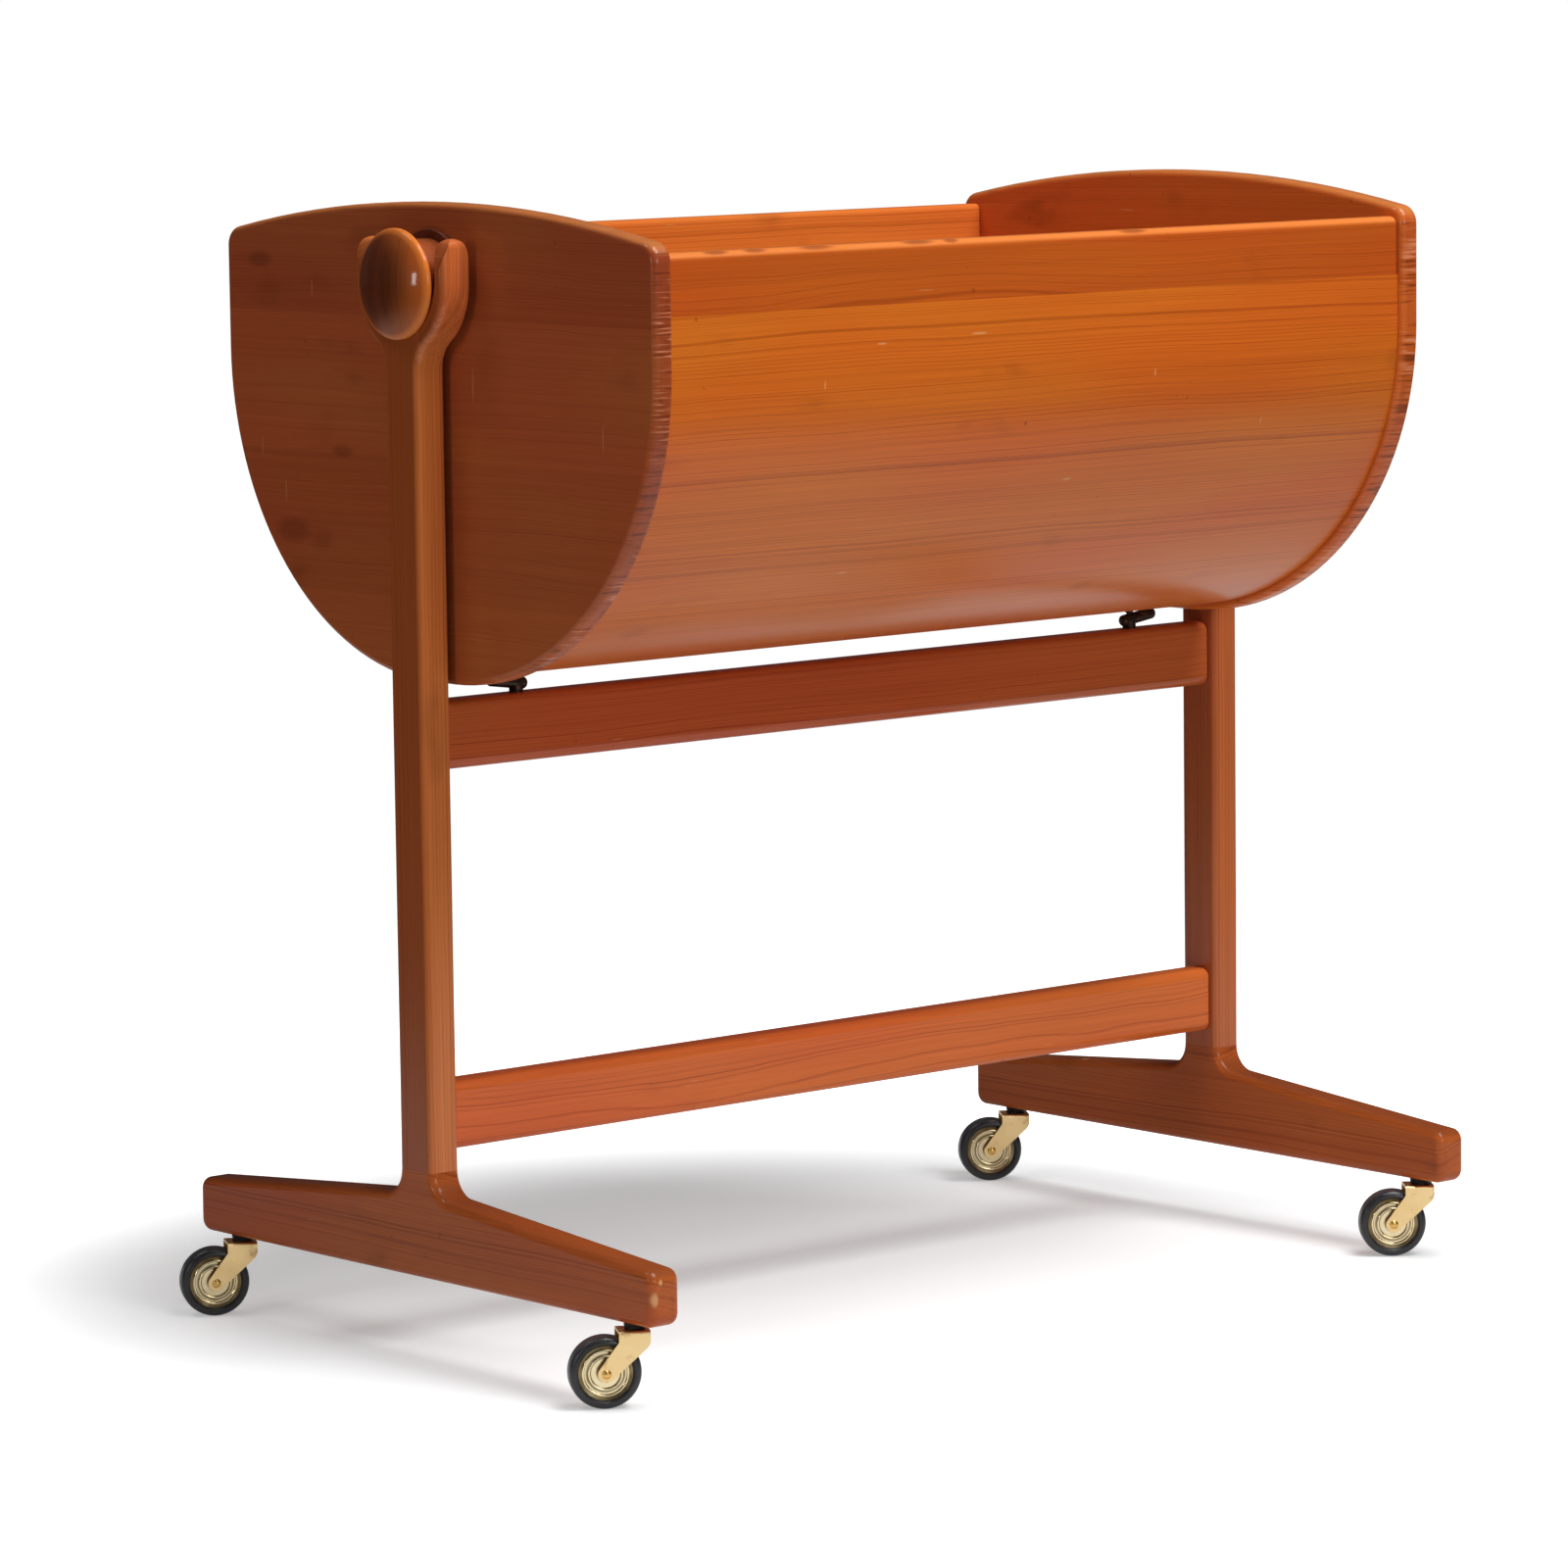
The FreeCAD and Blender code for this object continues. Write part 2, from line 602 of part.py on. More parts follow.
def make_dowels(label, radius, length, spots, lying):
    """Alike dowels in one group; a spot is the lower or left end of a dowel."""
    rods = []
    tip = FreeCAD.Rotation(FreeCAD.Vector(0, 1, 0), SQUARE if lying else 0)
    for number, (x, y, z) in enumerate(spots, start=1):
        rod = doc.addObject("Part::Cylinder", "%s_%d" % (label, number))
        bind(rod, "Radius", radius)
        bind(rod, "Height", length)
        rod.Placement = FreeCAD.Placement(FreeCAD.Vector(), tip)
        bind(rod, "Placement.Base.x", x)
        bind(rod, "Placement.Base.y", y)
        bind(rod, "Placement.Base.z", z)
        rods.append(rod)
    group = doc.addObject("Part::Compound", label)
    group.Label = label
    group.Links = rods
    nodes.append(group)


def make_panel(side, turn):
    """End panel; its outer face looks along its own X."""
    body = new_body(side + "_end_panel")
    sketch = new_sketch(body, "outline", "YZ_Plane")
    low = panel_spring - size.panel_round
    shoulder = size.pivot_height + size.panel_side_rise
    crown_radius = (panel_side * panel_side / size.panel_crown + size.panel_crown) / 2
    draw_outline(
        sketch,
        (-panel_corner, low),
        (panel_corner, low),
        (panel_side, panel_spring, size.panel_round, LEFT_TURN),
        (panel_side, shoulder),
        (0, shoulder + size.panel_crown, crown_radius, LEFT_TURN),
        (-panel_side, shoulder, crown_radius, LEFT_TURN),
        (-panel_side, panel_spring),
        (-panel_corner, low, size.panel_round, LEFT_TURN),
    )
    pad(body, sketch, size.panel_thickness)
    face = size.panel_thickness / 2
    round_edges(body, "top_corners", size.panel_top_round,
                lambda edge: lies_on_either(edge, "Y", panel_side) and lies_on(edge, "Z", shoulder))
    round_edges(body, "arris", size.panel_arris, lambda edge: lies_on_either(edge, "X", face))
    groove = new_sketch(body, "groove", "YZ_Plane", -face)
    draw_shell_section(groove, size.groove_fit)
    pocket(body, groove, size.groove_depth, along_normal=True)
    centres = rail_dowel_places + [mirrored(spot) for spot in rail_dowel_places]
    drill(body, "rail_holes", "YZ_Plane", -face, size.rail_dowel_radius + size.dowel_fit,
          size.rail_dowel_in_panel + size.dowel_end_room, centres, along_normal=True)
    drill(body, "spigot_hole", "YZ_Plane", face, size.spigot_radius + size.spigot_fit,
          size.spigot_depth + size.dowel_end_room, [(0, size.pivot_height)])
    place(body, x=(panel_outer - face) * turn, turn=SQUARE - SQUARE * turn)


def draw_shell_section(sketch, room):
    """Bent sheet from rail to rail, with room around it for a groove."""
    outer = shell_round + room
    inner = shell_round - size.shell_thickness - room
    outer_side = panel_corner + outer
    inner_side = panel_corner + inner
    draw_outline(
        sketch,
        (-panel_corner, panel_spring - outer),
        (panel_corner, panel_spring - outer),
        (outer_side, panel_spring, outer, LEFT_TURN),
        (outer_side, rail_shoulder),
        (inner_side, rail_shoulder),
        (inner_side, panel_spring),
        (panel_corner, panel_spring - inner, inner, RIGHT_TURN),
        (-panel_corner, panel_spring - inner),
        (-inner_side, panel_spring, inner, RIGHT_TURN),
        (-inner_side, rail_shoulder),
        (-outer_side, rail_shoulder),
        (-outer_side, panel_spring),
        (-panel_corner, panel_spring - outer, outer, LEFT_TURN),
    )


def make_shell():
    body = new_body("curved_shell")
    sketch = new_sketch(body, "section", "YZ_Plane")
    draw_shell_section(sketch, as_size(0))
    pad(body, sketch, size.trough_length + (size.groove_depth - size.groove_fit) * 2)
    place(body)


def make_rail(side, turn):
    """Side rail with a tongue behind the shell; its outer face looks along its own Y."""
    body = new_body(side + "_rail")
    sketch = new_sketch(body, "section", "YZ_Plane")
    tongue_side = rail_outer - size.shell_thickness
    tongue_low = rail_shoulder - size.rail_tongue
    outer_high = rail_top - size.rail_outer_round
    inner_high = rail_top - size.rail_inner_round
    draw_outline(
        sketch,
        (rail_inner, tongue_low),
        (tongue_side, tongue_low),
        (tongue_side, rail_shoulder),
        (rail_outer, rail_shoulder),
        (rail_outer, outer_high),
        (rail_outer - size.rail_outer_round, rail_top, size.rail_outer_round, LEFT_TURN),
        (rail_inner + size.rail_inner_round, rail_top),
        (rail_inner, inner_high, size.rail_inner_round, LEFT_TURN),
        (rail_inner, tongue_low),
    )
    pad(body, sketch, size.trough_length)
    round_edges(body, "ends", size.rail_end_round,
                lambda edge: lies_on_either(edge, "X", panel_inner) and
                (lies_on(edge, "Y", rail_outer) or edge.BoundBox.ZMax > outer_high.value + size.match_room.value))
    depth = size.rail_dowel_in_rail + size.dowel_end_room
    radius = size.rail_dowel_radius + size.dowel_fit
    drill(body, "right_holes", "YZ_Plane", panel_inner, radius, depth, rail_dowel_places)
    drill(body, "left_holes", "YZ_Plane", -panel_inner, radius, depth, rail_dowel_places, along_normal=True)
    place(body, turn=SQUARE - SQUARE * turn)


def make_pivot(side, turn):
    """Shaft, collar and knob of one end; their axis is their own X, from the panel's face."""
    spigot = size.spigot_radius
    shaft = turned(
        side + "_shaft", "XY_Plane", "H_Axis",
        (-size.spigot_depth, 0),
        (knob_back + size.knob_spigot_length, 0),
        (knob_back + size.knob_spigot_length, size.knob_spigot_radius),
        (knob_back, size.knob_spigot_radius),
        (knob_back, size.shaft_radius),
        (collar_thickness, size.shaft_radius),
        (collar_thickness, spigot),
        (-size.spigot_depth, spigot),
        (-size.spigot_depth, 0),
    )
    rim = size.collar_radius - size.collar_round
    collar = turned(
        side + "_collar", "XY_Plane", "H_Axis",
        (0, spigot + size.spigot_fit),
        (collar_thickness, spigot + size.spigot_fit),
        (collar_thickness, rim),
        (collar_thickness - size.collar_round, size.collar_radius, size.collar_round, LEFT_TURN),
        (0, size.collar_radius),
        (0, spigot + size.spigot_fit),
    )
    dome = size.knob_dome_radius
    rim_round = size.knob_rim_round
    back_round = size.knob_back_round
    rim_height = size.knob_radius - rim_round
    inner_reach = dome - rim_round
    rim_run = root(inner_reach * inner_reach - rim_height * rim_height)
    rim_middle = knob_back + back_round + size.knob_rim_straight
    dome_middle = rim_middle - rim_run
    crown = dome_middle + dome
    dome_edge = (dome_middle + rim_run * dome / inner_reach, rim_height * dome / inner_reach)
    bore = size.knob_spigot_radius + size.spigot_fit
    bore_end = knob_back + size.knob_spigot_length + size.dowel_end_room
    knob = turned(
        side + "_knob", "XY_Plane", "H_Axis",
        (bore_end, 0),
        (crown, 0),
        (*dome_edge, dome, LEFT_TURN),
        (rim_middle, size.knob_radius, rim_round, LEFT_TURN),
        (knob_back + back_round, size.knob_radius),
        (knob_back, size.knob_radius - back_round, back_round, LEFT_TURN),
        (knob_back, bore),
        (bore_end, bore),
        (bore_end, 0),
    )
    for body in (shaft, collar, knob):
        place(body, x=panel_outer * turn, z=size.pivot_height, turn=SQUARE - SQUARE * turn)


def make_lever(side, turn):
    """Stop lever with its collar and screw; the long end of the rod points outward."""
    collar_top = stretcher_top + size.lever_collar_height
    hub_low = collar_top + size.lever_room
    tilt_sine = sine(size.lever_tilt)
    tilt_cosine = cosine(size.lever_tilt)
    axis_height = hub_low + (size.lever_radius + size.lever_hub_radius * tilt_sine) / tilt_cosine
    bore = size.screw_radius + size.screw_fit
    collar = turned(
        side + "_lever_collar", "XZ_Plane", "V_Axis",
        (bore, stretcher_top),
        (size.lever_hub_radius, stretcher_top),
        (size.lever_hub_radius, collar_top),
        (bore, collar_top),
        (bore, stretcher_top),
    )
    head_low = (axis_height + size.lever_room
                + (size.lever_radius + size.screw_head_radius * tilt_sine) / tilt_cosine)
    screw = turned(
        side + "_lever_screw", "XZ_Plane", "V_Axis",
        (0, stretcher_top - size.screw_depth),
        (size.screw_radius, stretcher_top - size.screw_depth),
        (size.screw_radius, head_low),
        (size.screw_head_radius, head_low),
        (size.screw_head_radius, head_low + size.screw_head_height),
        (0, head_low + size.screw_head_height),
        (0, stretcher_top - size.screw_depth),
    )
    rod = doc.addObject("Part::Cylinder", side + "_lever_rod")
    bind(rod, "Radius", size.lever_radius)
    bind(rod, "Height", size.lever_length)
    rod.Placement = FreeCAD.Placement(FreeCAD.Vector(), FreeCAD.Rotation(FreeCAD.Vector(0, 1, 0), SQUARE))
    bind(rod, "Placement.Rotation.Angle", SQUARE - size.lever_tilt)
    bind(rod, "Placement.Base.x", -size.lever_short_end * tilt_cosine)
    bind(rod, "Placement.Base.z", axis_height - size.lever_short_end * tilt_sine)
    doc.recompute()
    soft_rod = doc.addObject("Part::Fillet", side + "_lever_rod_rounded")
    soft_rod.Base = rod
    rims = [n for n, edge in enumerate(rod.Shape.Edges, start=1) if edge.isClosed()]
    soft_rod.Edges = [(n, size.lever_end_round.value, size.lever_end_round.value) for n in rims]
    hub = doc.addObject("Part::Cylinder", side + "_lever_hub")
    bind(hub, "Radius", size.lever_hub_radius)
    bind(hub, "Height", axis_height - hub_low)
    bind(hub, "Placement.Base.z", hub_low)
    blank = doc.addObject("Part::Fuse", side + "_lever_blank")
    blank.Base = soft_rod
    blank.Tool = hub
    hole = doc.addObject("Part::Cylinder", side + "_lever_bore")
    bind(hole, "Radius", bore)
    bind(hole, "Height", size.lever_length)
    bind(hole, "Placement.Base.z", axis_height - size.lever_length / 2)
    lever = doc.addObject("Part::Cut", side + "_stop_lever")
    lever.Label = side + "_stop_lever"
    lever.Base = blank
    lever.Tool = hole
    nodes.append(lever)
    for item in (collar, screw, lever):
        place(item, x=lever_place * turn, turn=SQUARE - SQUARE * turn)


def bead(middle, face, half_width, turn):
    """Two arcs over a round ridge of the wheel's disc, outward on one face and back on the other."""
    side = half_width * turn
    return [
        (middle - side, face * turn),
        (middle, (face + half_width) * turn, half_width, RIGHT_TURN),
        (middle + side, face * turn, half_width, RIGHT_TURN),
    ]


def make_caster(name, x, y, turn):
    """Socket, swivel pin, fork, axle, rim and tyre of one caster; its own X is the trail."""
    bore = size.pin_radius + size.pin_fit
    sleeve_top = foot_underside + size.socket_depth
    socket = turned(
        name + "_caster_socket", "XZ_Plane", "V_Axis",
        (bore, socket_bottom),
        (size.socket_collar_radius, socket_bottom),
        (size.socket_collar_radius, foot_underside),
        (size.socket_radius, foot_underside),
        (size.socket_radius, sleeve_top),
        (bore, sleeve_top),
        (bore, socket_bottom),
    )
    pin_top = sleeve_top - size.pin_end_room
    plate_low = fork_top - size.fork_sheet
    pin = turned(
        name + "_caster_pin", "XZ_Plane", "V_Axis",
        (0, plate_low - size.pin_head_height),
        (size.pin_head_radius, plate_low - size.pin_head_height),
        (size.pin_head_radius, plate_low),
        (size.pin_radius, plate_low),
        (size.pin_radius, fork_top),
        (size.pin_collar_radius, fork_top),
        (size.pin_collar_radius, pin_collar_top),
        (size.pin_radius, pin_collar_top),
        (size.pin_radius, pin_top),
        (0, pin_top),
        (0, plate_low - size.pin_head_height),
    )
    fork = make_fork(name + "_caster_fork")
    for item in (socket, pin, fork):
        place(item, x=x, y=y, turn=turn)
    axle = make_axle(name + "_caster_axle")
    rim = make_rim(name + "_wheel_rim")
    tyre = make_tyre(name + "_tyre")
    for item in (axle, rim, tyre):
        place(item, x=x + size.caster_trail * cosine(turn), y=y + size.caster_trail * sine(turn),
              z=size.wheel_radius, turn=turn)


def make_fork(label):
    """Sheet folded to a top and two cheeks that run down to the axle."""
    body = new_body(label)
    sketch = new_sketch(body, "cheek", "XZ_Plane")
    eye = (size.caster_trail, size.wheel_radius)
    radius = size.fork_eye_radius
    front = (-size.fork_front, fork_top - size.fork_front_skirt)
    rear = (size.fork_rear, fork_top - size.fork_rear_skirt)
    draw_outline(
        sketch,
        (-size.fork_front, fork_top),
        front,
        tangent_point(front, eye, radius, LEFT_TURN),
        (eye[0], eye[1] - radius, radius, LEFT_TURN),
        (*tangent_point(rear, eye, radius, RIGHT_TURN), radius, LEFT_TURN),
        rear,
        (size.fork_rear, fork_top),
        (-size.fork_front, fork_top),
    )
    pad(body, sketch, fork_side * 2)
    eased = (("front", front, size.fork_front_round), ("rear", rear, size.fork_rear_round))
    for name, corner, easing in eased:
        round_edges(body, name, easing,
                    lambda edge: lies_on(edge, "X", corner[0]) and lies_on(edge, "Z", corner[1]))
    round_edges(body, "folds", size.fork_fold_round,
                lambda edge: lies_on_either(edge, "Y", fork_side) and lies_on(edge, "Z", fork_top))
    inside = new_sketch(body, "inside", "YZ_Plane")
    low = size.wheel_radius - radius * 2
    high = fork_top - size.fork_sheet
    draw_outline(
        inside,
        (-fork_gap, low),
        (fork_gap, low),
        (fork_gap, high),
        (-fork_gap, high),
        (-fork_gap, low),
    )
    pocket(body, inside, None)
    axle_holes = new_sketch(body, "axle_holes", "XZ_Plane")
    draw_circles(axle_holes, size.axle_radius + size.axle_fit, [eye])
    pocket(body, axle_holes, None)
    drill(body, "pin_hole", "XY_Plane", fork_top, size.pin_radius + size.pin_fit, size.fork_sheet, [(0, 0)])
    return body


def make_axle(label):
    head = size.axle_head_radius
    height = size.axle_head_height
    dome = (head * head / height + height) / 2
    return turned(
        label, "XY_Plane", "V_Axis",
        (0, -fork_side - height),
        (head, -fork_side, dome, LEFT_TURN),
        (size.axle_radius, -fork_side),
        (size.axle_radius, fork_side),
        (head, fork_side),
        (0, fork_side + height, dome, LEFT_TURN),
        (0, -fork_side - height),
    )


def make_rim(label):
    """Pressed wheel disc with a hub, an inner ring, an outer ridge and a lip."""
    bore = size.axle_radius + size.axle_fit
    hub_face = fork_gap - size.hub_side_room
    face = size.rim_face
    ring = rim_radius - size.ring_inset
    ridge = rim_radius - size.ridge_inset
    return turned(
        label, "XY_Plane", "V_Axis",
        (bore, -hub_face),
        (bore, hub_face),
        (size.hub_radius, hub_face),
        (size.hub_radius, face),
        *bead(ring, face, size.ring_bead, AHEAD),
        *bead(ridge, face, size.ridge_bead, AHEAD),
        (rim_radius, size.rim_lip),
        (rim_radius, -size.rim_lip),
        *bead(ridge, face, size.ridge_bead, -AHEAD),
        *bead(ring, face, size.ring_bead, -AHEAD),
        (size.hub_radius, -face),
        (size.hub_radius, -hub_face),
        (bore, -hub_face),
    )


def make_tyre(label):
    side = size.tyre_width / 2
    shoulder = size.tyre_shoulder
    return turned(
        label, "XY_Plane", "V_Axis",
        (rim_radius, -size.rim_lip),
        (rim_radius + size.tyre_bead, -side),
        (size.wheel_radius - shoulder, -side),
        (size.wheel_radius, -side + shoulder, shoulder, LEFT_TURN),
        (size.wheel_radius, side - shoulder),
        (size.wheel_radius - shoulder, side, shoulder, LEFT_TURN),
        (rim_radius + size.tyre_bead, side),
        (rim_radius, size.rim_lip),
        (rim_radius, -size.rim_lip),
    )


for side, turn in (("left", AHEAD), ("right", -AHEAD)):
    make_post(side, turn)
    make_foot(side, turn)
make_stretcher("upper_stretcher", upper_height, [(lever_place, 0), (-lever_place, 0)])
make_stretcher("lower_stretcher", lower_height, [])
make_dowels("stretcher_dowels", size.dowel_radius, size.dowel_in_post + size.dowel_in_stretcher,
            [(x, 0, z) for z in stretcher_dowel_heights
             for x in (-post_inner - size.dowel_in_post, post_inner - size.dowel_in_stretcher)],
            lying=True)
make_dowels("foot_dowels", size.dowel_radius, size.foot_dowel_up + size.foot_dowel_down,
            [(x, y, joint_height - size.foot_dowel_down)
             for x in (-post_middle, post_middle) for y in foot_dowel_places],
            lying=False)

for side, turn in (("left", -AHEAD), ("right", AHEAD)):
    make_panel(side, turn)
    make_pivot(side, turn)
    make_lever(side, turn)
make_shell()
make_rail("front", -AHEAD)
make_rail("back", AHEAD)
make_dowels("rail_dowels", size.rail_dowel_radius, size.rail_dowel_in_panel + size.rail_dowel_in_rail,
            [(x, y * side, z) for y, z in rail_dowel_places for side in (AHEAD, -AHEAD)
             for x in (-panel_inner - size.rail_dowel_in_panel, panel_inner - size.rail_dowel_in_rail)],
            lying=True)

make_caster("left_back", -post_middle, caster_place, size.left_back_turn)
make_caster("left_front", -post_middle, -caster_place, size.left_front_turn)
make_caster("right_back", post_middle, caster_place, size.right_back_turn)
make_caster("right_front", post_middle, -caster_place, size.right_front_turn)

doc.recompute()
for item in doc.Objects:
    if "Invalid" in item.State or "Error" in item.State:
        raise RuntimeError("%s did not build: %s" % (item.Name, item.State))
for node in nodes:
    if node.Shape.isNull() or not node.Shape.isValid():
        raise RuntimeError(node.Label + " has no valid shape")

os.makedirs("parts", exist_ok=True)
for node in nodes:
    node.Shape.exportStep("parts/%s.step" % node.Label)
    box = node.Shape.BoundBox
    print("%s: %d solid(s), %.0f mm3, x %.1f to %.1f, y %.1f to %.1f, z %.1f to %.1f" % (
        node.Label, len(node.Shape.Solids), node.Shape.Volume,
        box.XMin, box.XMax, box.YMin, box.YMax, box.ZMin, box.ZMax))
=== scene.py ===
import json
import math
from dataclasses import dataclass
from typing import NamedTuple

import bpy
from mathutils import Matrix, Vector


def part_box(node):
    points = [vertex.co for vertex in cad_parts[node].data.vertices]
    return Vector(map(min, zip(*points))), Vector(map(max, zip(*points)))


# Looks of the rocking cradle: lacquered pine, brass casters with black tyres, dark metal levers.
# Metres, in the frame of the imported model: X along the cradle, Y to its back, Z up.

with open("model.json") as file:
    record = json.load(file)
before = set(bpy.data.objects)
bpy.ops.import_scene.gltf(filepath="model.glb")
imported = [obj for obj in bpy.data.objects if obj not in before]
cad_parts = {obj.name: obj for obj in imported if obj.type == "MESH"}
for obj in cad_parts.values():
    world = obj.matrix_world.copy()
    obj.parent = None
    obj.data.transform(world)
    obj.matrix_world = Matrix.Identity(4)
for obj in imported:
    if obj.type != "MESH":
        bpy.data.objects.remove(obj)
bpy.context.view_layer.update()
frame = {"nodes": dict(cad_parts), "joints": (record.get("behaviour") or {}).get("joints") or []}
nodes = frame["nodes"]
joints = {joint["name"]: joint for joint in frame["joints"]}

AXES = ("X", "Y", "Z")
NOWHERE = (0.0, 0.0, 0.0)
WHITE = (1.0, 1.0, 1.0, 1.0)
SIDES = (("left", -1), ("right", 1))
CASTERS = ("left_back", "left_front", "right_back", "right_front")

# Places that the CAD gives
PIVOT_HEIGHT = joints["cradle_rock"]["pos_m"][2]
PANEL_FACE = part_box("left_end_panel")[0].x
SHELL_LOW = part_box("curved_shell")[0].z
SHELL_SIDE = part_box("curved_shell")[1].y

# The bent corner of the shell: how far its middle lies from the centre line, its radius and its height
CORNER_PLACE = 0.013
CORNER_ROUND = SHELL_SIDE - CORNER_PLACE
CORNER_HEIGHT = SHELL_LOW + CORNER_ROUND
LEAST_DROP = 0.0001

# Camera of the photograph
CAMERA_PLACE = Vector((-3.29278, -3.73272, 0.98700))
CAMERA_YAW = math.radians(40.978)
CAMERA_PITCH = math.radians(7.038)
CAMERA_ROLL = math.radians(-0.709)
CAMERA_LENS = 157.0
CAMERA_SENSOR = 36.0


def paint(red, green, blue):
    """Colour as a screen shows it, 0 to 255, made linear by the usual curve of screens."""
    def linear(level):
        share = level / 255
        return share / 12.92 if share <= 0.04045 else ((share + 0.055) / 1.055) ** 2.4
    return (linear(red), linear(green), linear(blue), 1.0)


# Light and dark wood of each piece
PANEL_PINE = (paint(177, 89, 47), paint(131, 54, 28))
FAR_PANEL_PINE = (paint(218, 110, 46), paint(164, 68, 26))
SHELL_PINE = (paint(214, 110, 31), paint(146, 62, 16))
RAIL_PINE = (paint(196, 92, 28), paint(120, 46, 14))
BACK_RAIL_PINE = (paint(222, 120, 48), paint(152, 68, 24))
POST_PINE = (paint(214, 120, 60), paint(130, 52, 22))
FAR_POST_PINE = (paint(196, 104, 58), paint(116, 46, 24))
FOOT_PINE = (paint(186, 93, 42), paint(116, 46, 20))
UPPER_PINE = (paint(190, 92, 46), paint(130, 50, 22))
LOWER_PINE = (paint(224, 113, 53), paint(154, 60, 26))
KNOB_PINE = (paint(206, 104, 40), paint(84, 38, 20))
SHAFT_PINE = (paint(164, 86, 44), paint(112, 48, 22))
# painted shade: the collar's colours are darker, for the shade it sits in behind the knob
SHADED_COLLAR_PINE = (paint(122, 62, 36), paint(76, 34, 20))
DOWEL_BEECH = (paint(222, 186, 140), paint(184, 138, 92))

# Single colours of the wood: painted light and shade for the tops, a painted highlight for the turned
# edge, and marks
PANEL_TOP_HIGHLIGHT = paint(186, 112, 58)
# painted highlight on the rail's top, partly lighter worn wood
RAIL_TOP_HIGHLIGHT = paint(226, 132, 62)
FOOT_TOP_SHADE = paint(128, 62, 28)
KNOB_EDGE_HIGHLIGHT = paint(232, 132, 54)
STAIN = paint(70, 28, 12)
KNOT = paint(110, 36, 16)
SCRATCH = paint(222, 170, 118)
END_LINE = paint(222, 150, 112)
YELLOWER = (1.0, 1.06, 1.0, 1.0)
REDDER = (1.0, 0.88, 0.92, 1.0)

# Metals and rubber, each as two colours that it changes between, and what stains them
FORK_BRASS = (paint(250, 222, 168), paint(234, 198, 134))
# painted shade: darker than the fork's brass, for the shade round the axle
SHADED_AXLE_BRASS = (paint(244, 208, 128), paint(206, 160, 82))
BRASS_STAIN = paint(140, 92, 44)
RIM_METAL = (paint(244, 232, 198), paint(218, 196, 146))
RIM_BROWN_RINGS = paint(96, 78, 44)
LEVER_METAL = (paint(52, 40, 34), paint(96, 70, 50))
BLACK_METAL = (paint(24, 23, 23), paint(58, 48, 40))
RUBBER = (paint(20, 20, 22), paint(44, 44, 48))
TREAD = paint(72, 72, 78)

# Shares of a spot's radii between which it fades away
SPOT_FADE = (0.35, 1.0)

# Keeps what lies square to X
SQUARE_TO_X = (0.0, 1.0, 1.0)


class Tree:
    """Short calls for the nodes of one material or world."""

    def __init__(self, owner):
        owner.use_nodes = True
        self.tree = owner.node_tree
        self.tree.nodes.clear()

    def add(self, kind, **settings):
        node = self.tree.nodes.new(kind)
        for name, value in settings.items():
            setattr(node, name, value)
        return node

    def feed(self, socket, value):
        """Links a socket to another one, or sets its level."""
        if isinstance(value, bpy.types.NodeSocket):
            self.tree.links.new(value, socket)
        else:
            socket.default_value = value

    def math(self, action, *values, clamp=False):
        node = self.add("ShaderNodeMath", operation=action, use_clamp=clamp)
        for socket, value in zip(node.inputs, values):
            self.feed(socket, value)
        return node.outputs[0]

    def plus(self, first, second, clamp=False):
        return self.math("ADD", first, second, clamp=clamp)

    def minus(self, first, second):
        return self.math("SUBTRACT", first, second)

    def times(self, first, second, clamp=False):
        return self.math("MULTIPLY", first, second, clamp=clamp)

    def most(self, first, second):
        return self.math("MAXIMUM", first, second)

    def line(self, value, gain, start):
        """The value times a gain, plus a start."""
        return self.plus(self.times(value, gain), start)

    def vector(self, action, first, second):
        node = self.add("ShaderNodeVectorMath", operation=action)
        self.feed(node.inputs[0], first)
        self.feed(node.inputs["Scale"] if action == "SCALE" else node.inputs[1], second)
        return node.outputs["Value" if action in ("DOT_PRODUCT", "DISTANCE") else "Vector"]

    def length(self, vector):
        return self.vector("DISTANCE", vector, NOWHERE)

    def split(self, vector):
        node = self.add("ShaderNodeSeparateXYZ")
        self.feed(node.inputs[0], vector)
        return [node.outputs[axis] for axis in AXES]

    def join(self, x, y, z):
        node = self.add("ShaderNodeCombineXYZ")
        for socket, value in zip(node.inputs, (x, y, z)):
            self.feed(socket, value)
        return node.outputs[0]

    def noise(self, where, scale, detail=2.0, roughness=0.5, out="Fac"):
        """Soft random values; scale holds the number of blots per metre along X, Y and Z."""
        node = self.add("ShaderNodeTexNoise")
        self.feed(node.inputs["Vector"], self.vector("MULTIPLY", where, scale))
        node.inputs["Scale"].default_value = 1.0
        node.inputs["Detail"].default_value = detail
        node.inputs["Roughness"].default_value = roughness
        return node.outputs[out]

    def chance(self, value):
        """A random level for each whole number."""
        node = self.add("ShaderNodeTexWhiteNoise", noise_dimensions="1D")
        self.feed(node.inputs["W"], value)
        return node.outputs["Value"]

    def span(self, value, limits, low, high):
        """Low before the limits, high after them, smooth in between."""
        node = self.add("ShaderNodeMapRange", interpolation_type="SMOOTHSTEP")
        start, end = limits
        for name, level in (("Value", value), ("From Min", start), ("From Max", end),
                            ("To Min", low), ("To Max", high)):
            self.feed(node.inputs[name], level)
        return node.outputs["Result"]

    def rise(self, value, limits):
        return self.span(value, limits, 0.0, 1.0)

    def fall(self, value, limits):
        return self.span(value, limits, 1.0, 0.0)

    def mix(self, factor, first, second, blend="MIX"):
        node = self.add("ShaderNodeMix", data_type="RGBA", blend_type=blend)
        self.feed(node.inputs["Factor"], factor)
        self.feed(node.inputs[6], first)
        self.feed(node.inputs[7], second)
        return node.outputs[2]

    def over(self, colour, mask, weight, new_colour):
        """The new colour laid over the old one where the mask is, as strong as the weight."""
        return self.mix(self.times(mask, weight), colour, new_colour)


